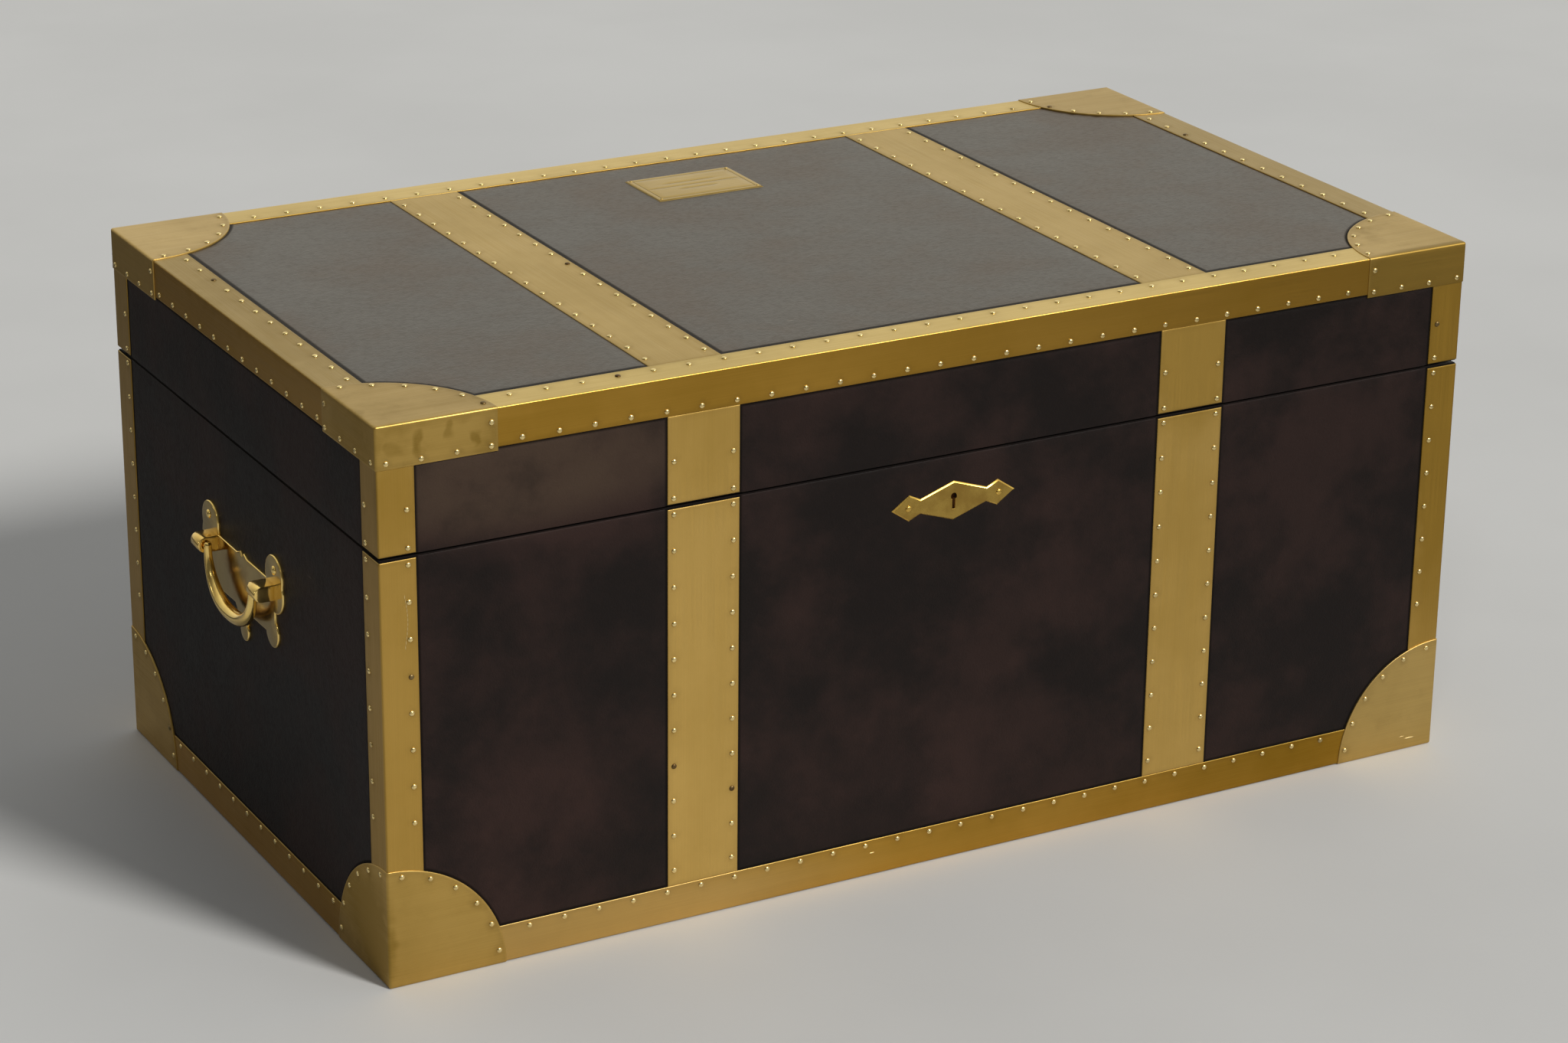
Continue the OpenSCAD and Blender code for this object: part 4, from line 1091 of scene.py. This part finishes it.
def face_leathers():
    for face in UPRIGHT_FACES:
        wide = face in WIDE_FACES
        half = HALF_W if wide else HALF_D
        end = half - SKIN if wide else half - SKIN - LEATHER
        sides = [(-half, -half + POST_W, 0, HIGH), (half - POST_W, half, 0, HIGH)]
        marks = [-half + POST_W, half - POST_W] + (STRAP_MARKS if wide else [])
        strips = sides + (strap_boxes(0, HIGH) if wide else [])
        low_band = [(-half, half, 0, BAND_W)]
        high_band = [
            (-half, half, HIGH - BAND_W, HIGH),
            (-half, -half + CAP_R, HIGH - CAP_FLAP, HIGH),
            (half - CAP_R, half, HIGH - CAP_FLAP, HIGH),
        ]
        leather_sheet(
            "base", face, (-end, end), (SKIN, BASE_TOP), strips + low_band,
            [(-half, 0), (half, 0)], (marks, [BAND_W]), KEYHOLE_SPAN if face == "front" else None,
        )
        leather_sheet(
            "lid", face, (-end, end), (LID_LOW, HIGH - SKIN - LEATHER), strips + high_band, [],
            (marks, [HIGH - BAND_W, HIGH - CAP_FLAP]),
        )


def top_leather():
    border = [
        (-HALF_W, -HALF_W + BAND_W, -HALF_D, HALF_D),
        (HALF_W - BAND_W, HALF_W, -HALF_D, HALF_D),
        (-HALF_W, HALF_W, -HALF_D, -HALF_D + BAND_W),
        (-HALF_W, HALF_W, HALF_D - BAND_W, HALF_D),
    ]
    discs = [(x, y) for x in (-HALF_W, HALF_W) for y in (-HALF_D, HALF_D)]
    marks = [-HALF_W + BAND_W, HALF_W - BAND_W] + STRAP_MARKS
    leather_sheet(
        "lid", "top", (-HALF_W + SKIN, HALF_W - SKIN), (-HALF_D + SKIN, HALF_D - SKIN),
        border + strap_boxes(-HALF_D, HALF_D), discs, (marks, [-HALF_D + BAND_W, HALF_D - BAND_W]),
    )


face_leathers()
top_leather()


# Fittings


def border_loops(node, axis, where):
    """The borders of a CAD node's flat side, as lists of places on it, the outer one first."""
    work = bmesh.new()
    work.from_mesh(NODES[node].data)
    bmesh.ops.remove_doubles(work, verts=work.verts[:], dist=2e-6)
    side = [f for f in work.faces if all(abs(v.co[axis] * METRE - where) < 0.01 for v in f.verts)]
    others = [k for k in range(3) if k != axis]
    loops = []
    for loop in borders((edge for face in side for edge in face.edges), lambda edge: edge.verts):
        places = [tuple(v.co[k] * METRE for k in others) for v in loop]
        pairs = zip([places[-1]] + places, places)
        area = sum(a[0] * b[1] - b[0] * a[1] for a, b in pairs)
        loops.append((abs(area), places if area > 0 else places[::-1]))
    work.free()
    return [places for _, places in sorted(loops, key=lambda x: -x[0])]


def inset(places, distance):
    """A border moved towards the inside of a shape that it runs round to the left."""
    out = []
    for k in range(len(places)):
        a, b, c = (Vector(places[i % len(places)]) for i in (k - 1, k, k + 1))
        first = (b - a).normalized()
        second = (c - b).normalized()
        left = Vector((-first.y - second.y, first.x + second.x))
        if left.length < 1e-6:
            left = Vector((-first.y, first.x))
        left.normalize()
        reach = 1 / max(left.dot(Vector((-first.y, first.x))), 0.6)
        out.append(tuple(b + left * distance * reach))
    return out


def cut_plate(node, axis, where, out, outer, inner, holes, dark):
    """A flat plate with a CAD node's outline, its edges rounded by rings of (inset, height), its flat
    face darkened by dark, a painted shade.
    """
    loops = border_loops(node, axis, where)[: 1 + holes]
    others = [k for k in range(3) if k != axis]
    work = bmesh.new()

    def ring(places, height):
        made = []
        for a, b in places:
            at = [0.0, 0.0, 0.0]
            at[others[0]], at[others[1]] = a, b
            at[axis] = where + out * height
            made.append(work.verts.new([c * MM for c in at]))
        return made

    top, low = [], []
    for index, places in enumerate(loops):
        edge_rings, inward = (outer, 1) if index == 0 else (inner, -1)
        rings = [ring(inset(places, inward * d), h) for d, h in edge_rings]
        for first, second in zip(rings, rings[1:]):
            for k in range(len(first)):
                work.faces.new([first[k - 1], first[k], second[k], second[k - 1]])
        for made, edges in ((rings[0], low), (rings[-1], top)):
            edges.extend(work.edges.get((made[k - 1], made[k])) for k in range(len(made)))
    for edges in (top, low):
        bmesh.ops.triangle_fill(work, use_beauty=True, use_dissolve=False, edges=edges)
    bmesh.ops.recalc_face_normals(work, faces=work.faces[:])
    work.verts.index_update()
    # painted shade: the flat face takes dark, the rounded edges none
    level = outer[-1][1] - 0.01
    shape = Shape()
    shape.add(
        [v.co * METRE for v in work.verts],
        [[v.index for v in f.verts] for f in work.faces],
        [[(v.co[others[0]], v.co[others[1]]) for v in f.verts] for f in work.faces],
        [dark if out * (v.co[axis] * METRE - where) > level else 0.0 for v in work.verts],
    )
    work.free()
    return shape


KEY_PLATE_T = 1.8
KEY_PLATE_Z = 343.0
KEY_PIN_X = 45.5
KEY_EDGE = [(0.0, 0.0), (0.0, 0.75), (0.95, 1.62), (1.3, KEY_PLATE_T)]
KEY_HOLE = [(0.0, 0.0), (0.0, 1.5), (0.3, KEY_PLATE_T)]
keyhole_plate = cut_plate("lock_escutcheon", 1, -HALF_D + SKIN, -1, KEY_EDGE, KEY_HOLE, 1, 0.6)
keyhole_plate.build("keyhole_plate", keyhole_brass, "base", "lock_escutcheon", "cast_brass", 25)

HANDLE_Z = 277.0
HANDLE_T = 3.0  # of the plate
HANDLE_OUT = 14.0  # from the leather to the pivot
HANDLE_SCREW_X = 75.5
HANDLE_SCREW_Y = 21.0
LUG_IN = 56.0
LUG_OUT = 75.0
BORE_R = 3.05


def handle_point(side, x, y, z):
    """A point of a handle: x towards the front, y up from its pivot, z out from the leather."""
    return Vector((side * (HALF_W - SKIN + z), -x, HANDLE_Z + y))


def knuckle(shape, side, end):
    """The block that holds one pin of the bail, with its blind bore."""
    count = 48
    wide, deep = 7.5, 12.5
    turns = [math.tau * k / count for k in range(count)]

    def profile(inward):
        places = []
        for a in turns:
            c, s = math.cos(a), math.sin(a)
            r = wide if s >= 0 else min(wide / max(abs(c), 1e-6), deep / abs(s))
            places.append(((r - inward) * c, HANDLE_OUT + (r - inward) * s))
        return places

    def bore(radius):
        return [(radius * math.cos(a), HANDLE_OUT + radius * math.sin(a)) for a in turns]

    rings = [
        (LUG_IN + 16, bore(BORE_R)), (LUG_IN + 1.2, bore(BORE_R)), (LUG_IN, bore(4.3)),
        (LUG_IN, profile(1.1)), (LUG_IN + 0.3, profile(0.35)), (LUG_IN + 1.1, profile(0.0)),
        (LUG_OUT - 1.3, profile(0.0)), (LUG_OUT - 0.4, profile(0.4)), (LUG_OUT, profile(1.5)),
    ]
    points = [handle_point(side, end * x, y, z) for x, ring in rings for y, z in ring]
    shape.add(points, tube_faces(len(rings), count))


WING_EDGE = [(0.0, 0.0), (0.0, 1.9), (0.22, 2.5), (0.75, 2.9), (1.4, HANDLE_T)]
for side, word in ((-1, "left"), (1, "right")):
    node = f"{word}_handle_plate"
    wing = cut_plate(node, 0, side * (HALF_W - SKIN), side, WING_EDGE, [], 0, 0.8)
    for end in (-1, 1):
        knuckle(wing, side, end)
    wing.build(f"{word}_handle_back", handle_brass, "base", node, "cast_brass", 40)


def bail(side, name, body):
    """The swinging part of a handle: a swept round bar with a straight pin at each end."""
    shape = Shape()
    half_w, drop, power = 52.0, 45.0, 2.3
    arm_r, grip_r, pin_r = 3.6, 6.5, 3.0
    ring = 22
    count = 60
    turns = [math.tau * j / ring for j in range(ring)]
    tip = [(4.4, 0.35), (4.1, 0.62), (3.4, 0.86), (2.0, 0.99)]  # height, share of the radius
    path = [(half_w, y, arm_r * share) for y, share in tip]
    for k in range(count + 1):
        t = math.pi * k / count
        c, s = math.cos(t), math.sin(t)
        x = half_w * math.copysign(abs(c) ** (2 / power), c)
        y = -drop * abs(s) ** (2 / power)
        path.append((x, y, arm_r + (grip_r - arm_r) * max(s, 0.0) ** 1.3))
    path += [(-half_w, y, arm_r * share) for y, share in reversed(tip)]
    points = []
    for k, (x, y, r) in enumerate(path):
        a = path[max(k - 1, 0)]
        b = path[min(k + 1, len(path) - 1)]
        way = Vector((b[0] - a[0], b[1] - a[1])).normalized()
        if k < len(tip) or k > count + len(tip):
            way = Vector((0, -1 if x > 0 else 1))
        for f in turns:
            out = r * math.cos(f)
            bar = (x - way.y * out, y + way.x * out, HANDLE_OUT + r * math.sin(f))
            points.append(handle_point(side, *bar))
    shape.add(points, tube_faces(len(path), ring))
    pin = [(0.0, pin_r), (3.7, pin_r), (18.4, pin_r), (19.0, pin_r - 0.6)]
    for end in (-1, 1):
        points = [
            handle_point(side, end * (half_w + out), r * math.cos(f), HANDLE_OUT + r * math.sin(f))
            for out, r in pin
            for f in turns
        ]
        faces = tube_faces(len(pin), ring)
        shape.add(points, [faces[0], faces[-1]] + faces[1:-1])
    shape.build(name, handle_brass, body, body, "cast_brass")


bail(-1, "left_grip", "left_bail")
bail(1, "right_grip", "right_bail")


SMALL_PLATE_U = 55.0  # half its length
SMALL_PLATE_V = 36.0
SMALL_PLATE_Y = 185.0
SMALL_PLATE_T = 1.5
SMALL_PIN_IN = 4.0  # from the plate's edges


def round_heads():
    """The handles' screws, the keyhole plate's pins and the small plate's pins."""
    screws = Shape()
    for side, face in ((-1, "left"), (1, "right")):
        for x in (-HANDLE_SCREW_X, HANDLE_SCREW_X):
            at = handle_point(side, x, HANDLE_SCREW_Y, HANDLE_T)
            dome(screws, at, NORMALS[face], 4.2, 1.8, 0.2, 0.0)
    screws.build("handle_screw_heads", handle_brass, "base", "handle_screws", "cast_brass", 80)
    pins = Shape()
    for x in (-KEY_PIN_X, KEY_PIN_X):
        at = (x, -HALF_D + SKIN - KEY_PLATE_T, KEY_PLATE_Z)
        dome(pins, at, NORMALS["front"], 3.0, NAIL_H, 0.1, 0.0)
    pins.build("keyhole_plate_pins", keyhole_brass, "base", "escutcheon_pins", "cast_brass", 80)
    small = Shape()
    for sx in (-1, 1):
        for sy in (-1, 1):
            x = sx * (SMALL_PLATE_U - SMALL_PIN_IN)
            y = SMALL_PLATE_Y + sy * (SMALL_PLATE_V - SMALL_PIN_IN)
            at = (x, y, HIGH - SKIN + SMALL_PLATE_T)
            dome(small, at, NORMALS["top"], 1.4, 0.8, 0.1, 0.3)
    small.build("small_plate_pins", plate_brass, "lid", "name_plate_pins", "plate_brass", 80)


round_heads()


def small_plate():
    """The plate on the lid, with a bevelled border and plain ruled lines cut into it."""
    half_u, half_v = SMALL_PLATE_U, SMALL_PLATE_V
    rules = [(10.0, 22.0), (0.0, 42.0), (-10.0, 16.0)]  # place, half its length
    border = 5.5
    wide = 0.55

    def groove_lines(at):
        return [at + o for o in (-wide, -wide * 0.3, wide * 0.3, wide)]

    us = [-half_u, -half_u + 0.5, -half_u + 1.4] + groove_lines(border - half_u)
    us += [-42.0, -41.0, -30.0, -22.0, -21.0, -16.0, -15.0, -8.0]  # close where a rule ends
    us = us + [0.0] + [-u for u in reversed(us)]
    vs = [-half_v, -half_v + 0.5, -half_v + 1.4] + groove_lines(border - half_v)
    vs += [-24.0, -17.0] + groove_lines(-10.0) + [-5.0]
    vs = vs + groove_lines(0.0) + [-v for v in reversed(vs)]
    lift = []
    for u in us:
        for v in vs:
            rim = min(half_u - abs(u), half_v - abs(v))
            depth = 0.9 * max(0.0, 1 - rim / 1.4) ** 1.4
            on_border = abs(rim - border) < wide * 0.5
            on_rule = any(abs(v - at) < wide * 0.5 and abs(u) <= half for at, half in rules)
            lift.append(-depth - (0.22 if on_border or on_rule else 0.0))
    sheet = Sheet(SMALL_PLATE_T - SKIN, -SKIN)
    sheet.grid(us, vs, lambda u, v: (u, SMALL_PLATE_Y + v, HIGH))
    shape = Shape()
    sheet.into(shape, lift=np.array(lift), flat=np.array(NORMALS["top"]))
    shape.grime_and_painted_light[: len(lift)] = [1.0 if -0.5 < value < -0.15 else 0.0 for value in lift]
    shape.build("small_plate", plate_brass, "lid", "name_plate", "plate_brass", 50)


small_plate()


def finish_node(node, material, bevel_width):
    """Keeps a CAD node as it is, with its own material and softened edges."""
    piece = NODES[node]
    mesh = piece.data
    mesh.materials.clear()
    mesh.materials.append(material)
    if "custom_normal" in mesh.attributes:
        mesh.attributes.remove(mesh.attributes["custom_normal"])
    weld = piece.modifiers.new("weld", "WELD")
    weld.merge_threshold = 2e-6
    bevel = piece.modifiers.new("edges", "BEVEL")
    bevel.width = bevel_width * MM
    bevel.segments = 2
    bevel.limit_method = "ANGLE"
    bevel.angle_limit = math.radians(40)


WOOD_LONG = (
    "base_front_board", "base_back_board", "base_floor_board", "lid_top_board",
    "lid_front_board", "lid_back_board",
)
WOOD_DEEP = ("base_left_board", "base_right_board", "lid_left_board", "lid_right_board")
BRASS_FITTINGS = (
    "hinge_base_leaves", "hinge_lid_leaves", "base_fitting_screws", "lid_fitting_screws",
    "stay_base_brackets", "stay_lid_brackets", "left_stay_lower_link", "left_stay_upper_link",
    "right_stay_lower_link", "right_stay_upper_link", "lock_bolt", "lid_strike",
)
for nodes, material, bevel_width in (
    (WOOD_LONG, wood_long, 0.8),
    (WOOD_DEEP, wood_deep, 0.8),
    (BRASS_FITTINGS, fitting_brass, 0.25),
    (["lock_case"], lock_steel, 0.25),
    (["hinge_pins"], lock_steel, 0.3),
):
    for node in nodes:
        finish_node(node, material, bevel_width)


# Floor, light and camera

# Dark patches of painted shade and a pale pool of painted light on the floor, which only reflections
# show: place, full and fading reach, tone
REFLECTED_SHADE_AND_LIGHT = [
    ((-2.4, 2.0, 0), 1.3, 2.5, srgb(30, 30, 30)),
    ((3.2, -2.3, 0), 2.1, 3.0, srgb(30, 30, 30)),
    ((-0.2, -0.6, 0), 0.05, 0.5, srgb(238, 238, 234)),
]
FLOOR_REACH = 30.0


def stage_floor():
    m = Material("floor")
    place = m.place()
    cloud = m.noise(place, 1.4, 4.0)
    grain = m.noise(place, 160.0, 3.0)
    colour = m.mix(m.ramp(cloud, 0.3, 0.7), srgb(200, 200, 198), srgb(206, 206, 204))
    mirrored_ray = m.node("LightPath").outputs["Is Glossy Ray"]
    for spot, full, reach, tone in REFLECTED_SHADE_AND_LIGHT:
        away = m.vector("DISTANCE", place, spot)
        colour = m.mix(m.times(mirrored_ray, m.ramp(away, full, reach, 1.0, 0.0)), colour, tone)
    material = m.finish(Base_Color=colour, Roughness=0.75, Normal=m.bump((grain, 0.15, 0.0006)))
    mesh = bpy.data.meshes.new("floor")
    turns = ((-1, -1), (1, -1), (1, 1), (-1, 1))
    corners = [(x * FLOOR_REACH, y * FLOOR_REACH, 0) for x, y in turns]
    mesh.from_pydata(corners, [], [[0, 1, 2, 3]])
    mesh.materials.append(material)
    link("floor", mesh)


def world_light():
    """A dim even sky that lights the chest, and a paler one that the camera and mirrors see."""
    world = bpy.data.worlds.new("studio")
    bpy.context.scene.world = world
    world.use_nodes = True
    w = Nodes(world.node_tree)
    w.tree.nodes.clear()
    path = w.node("LightPath").outputs
    mirrors = w.most(path["Is Glossy Ray"], path["Is Transmission Ray"])
    shown = w.most(path["Is Camera Ray"], mirrors)
    lean = w.vector("DOT_PRODUCT", w.node("TexCoord").outputs["Generated"], (0.72, 0.52, 0.46))

    def sky(dim, pale, colour):
        strength = w.ramp(lean, -0.5, 0.9, dim, pale)
        return w.node("Background", {"Color": colour, "Strength": strength}).outputs[0]

    soft = sky(0.06, 0.45, (0.98, 0.99, 1.0, 1))
    pale = sky(0.12, 1.02, (0.905, 0.89, 0.79, 1))
    w.node("OutputWorld", {0: w.node("MixShader", {0: shown, 1: soft, 2: pale}).outputs[0]})


def sun(name, at, strength, spread, colour=(1, 1, 1)):
    """Even light from the side on which a place lies, as wide as a soft box."""
    data = bpy.data.lights.new(name, "SUN")
    data.energy = strength
    data.angle = math.radians(spread)
    data.color = colour
    light = link(name, data)
    light.location = at
    light.rotation_mode = "QUATERNION"
    light.rotation_quaternion = (-Vector(at)).to_track_quat("-Z", "Y")


# The photo's camera, fitted to the chest's corners
CAMERA_AT = (-1.73726, -3.12620, 1.61079)
CAMERA_TURN = (-29.04096, 21.251275, 0.595968)  # azimuth, elevation and roll in degrees
SENSOR_W = 36
FOCAL_SHARE = 5359.47 / 2048  # focal length as a share of the frame's width


def photo_camera():
    az, el, roll = (math.radians(a) for a in CAMERA_TURN)
    data = bpy.data.cameras.new("camera")
    data.sensor_width = SENSOR_W
    data.lens = SENSOR_W * FOCAL_SHARE
    data.clip_start, data.clip_end = 0.1, 100
    camera = link("camera", data)
    turn = Matrix.Rotation(az, 4, "Z") @ Matrix.Rotation(math.pi / 2 - el, 4, "X")
    turn = turn @ Matrix.Rotation(roll, 4, "Z")
    camera.matrix_world = Matrix.Translation(CAMERA_AT) @ turn
    bpy.context.scene.camera = camera


stage_floor()
world_light()
sun("key", (1.6, -3.4, 2.6), 2.85, 12, (1.0, 0.985, 0.96))
sun("glint", (-2.4, -2.6, 3.0), 0.12, 5)
sun("window", (-3.0, 1.9, 0.8), 0.05, 5)
photo_camera()
bpy.context.scene.view_settings.view_transform = "Standard"
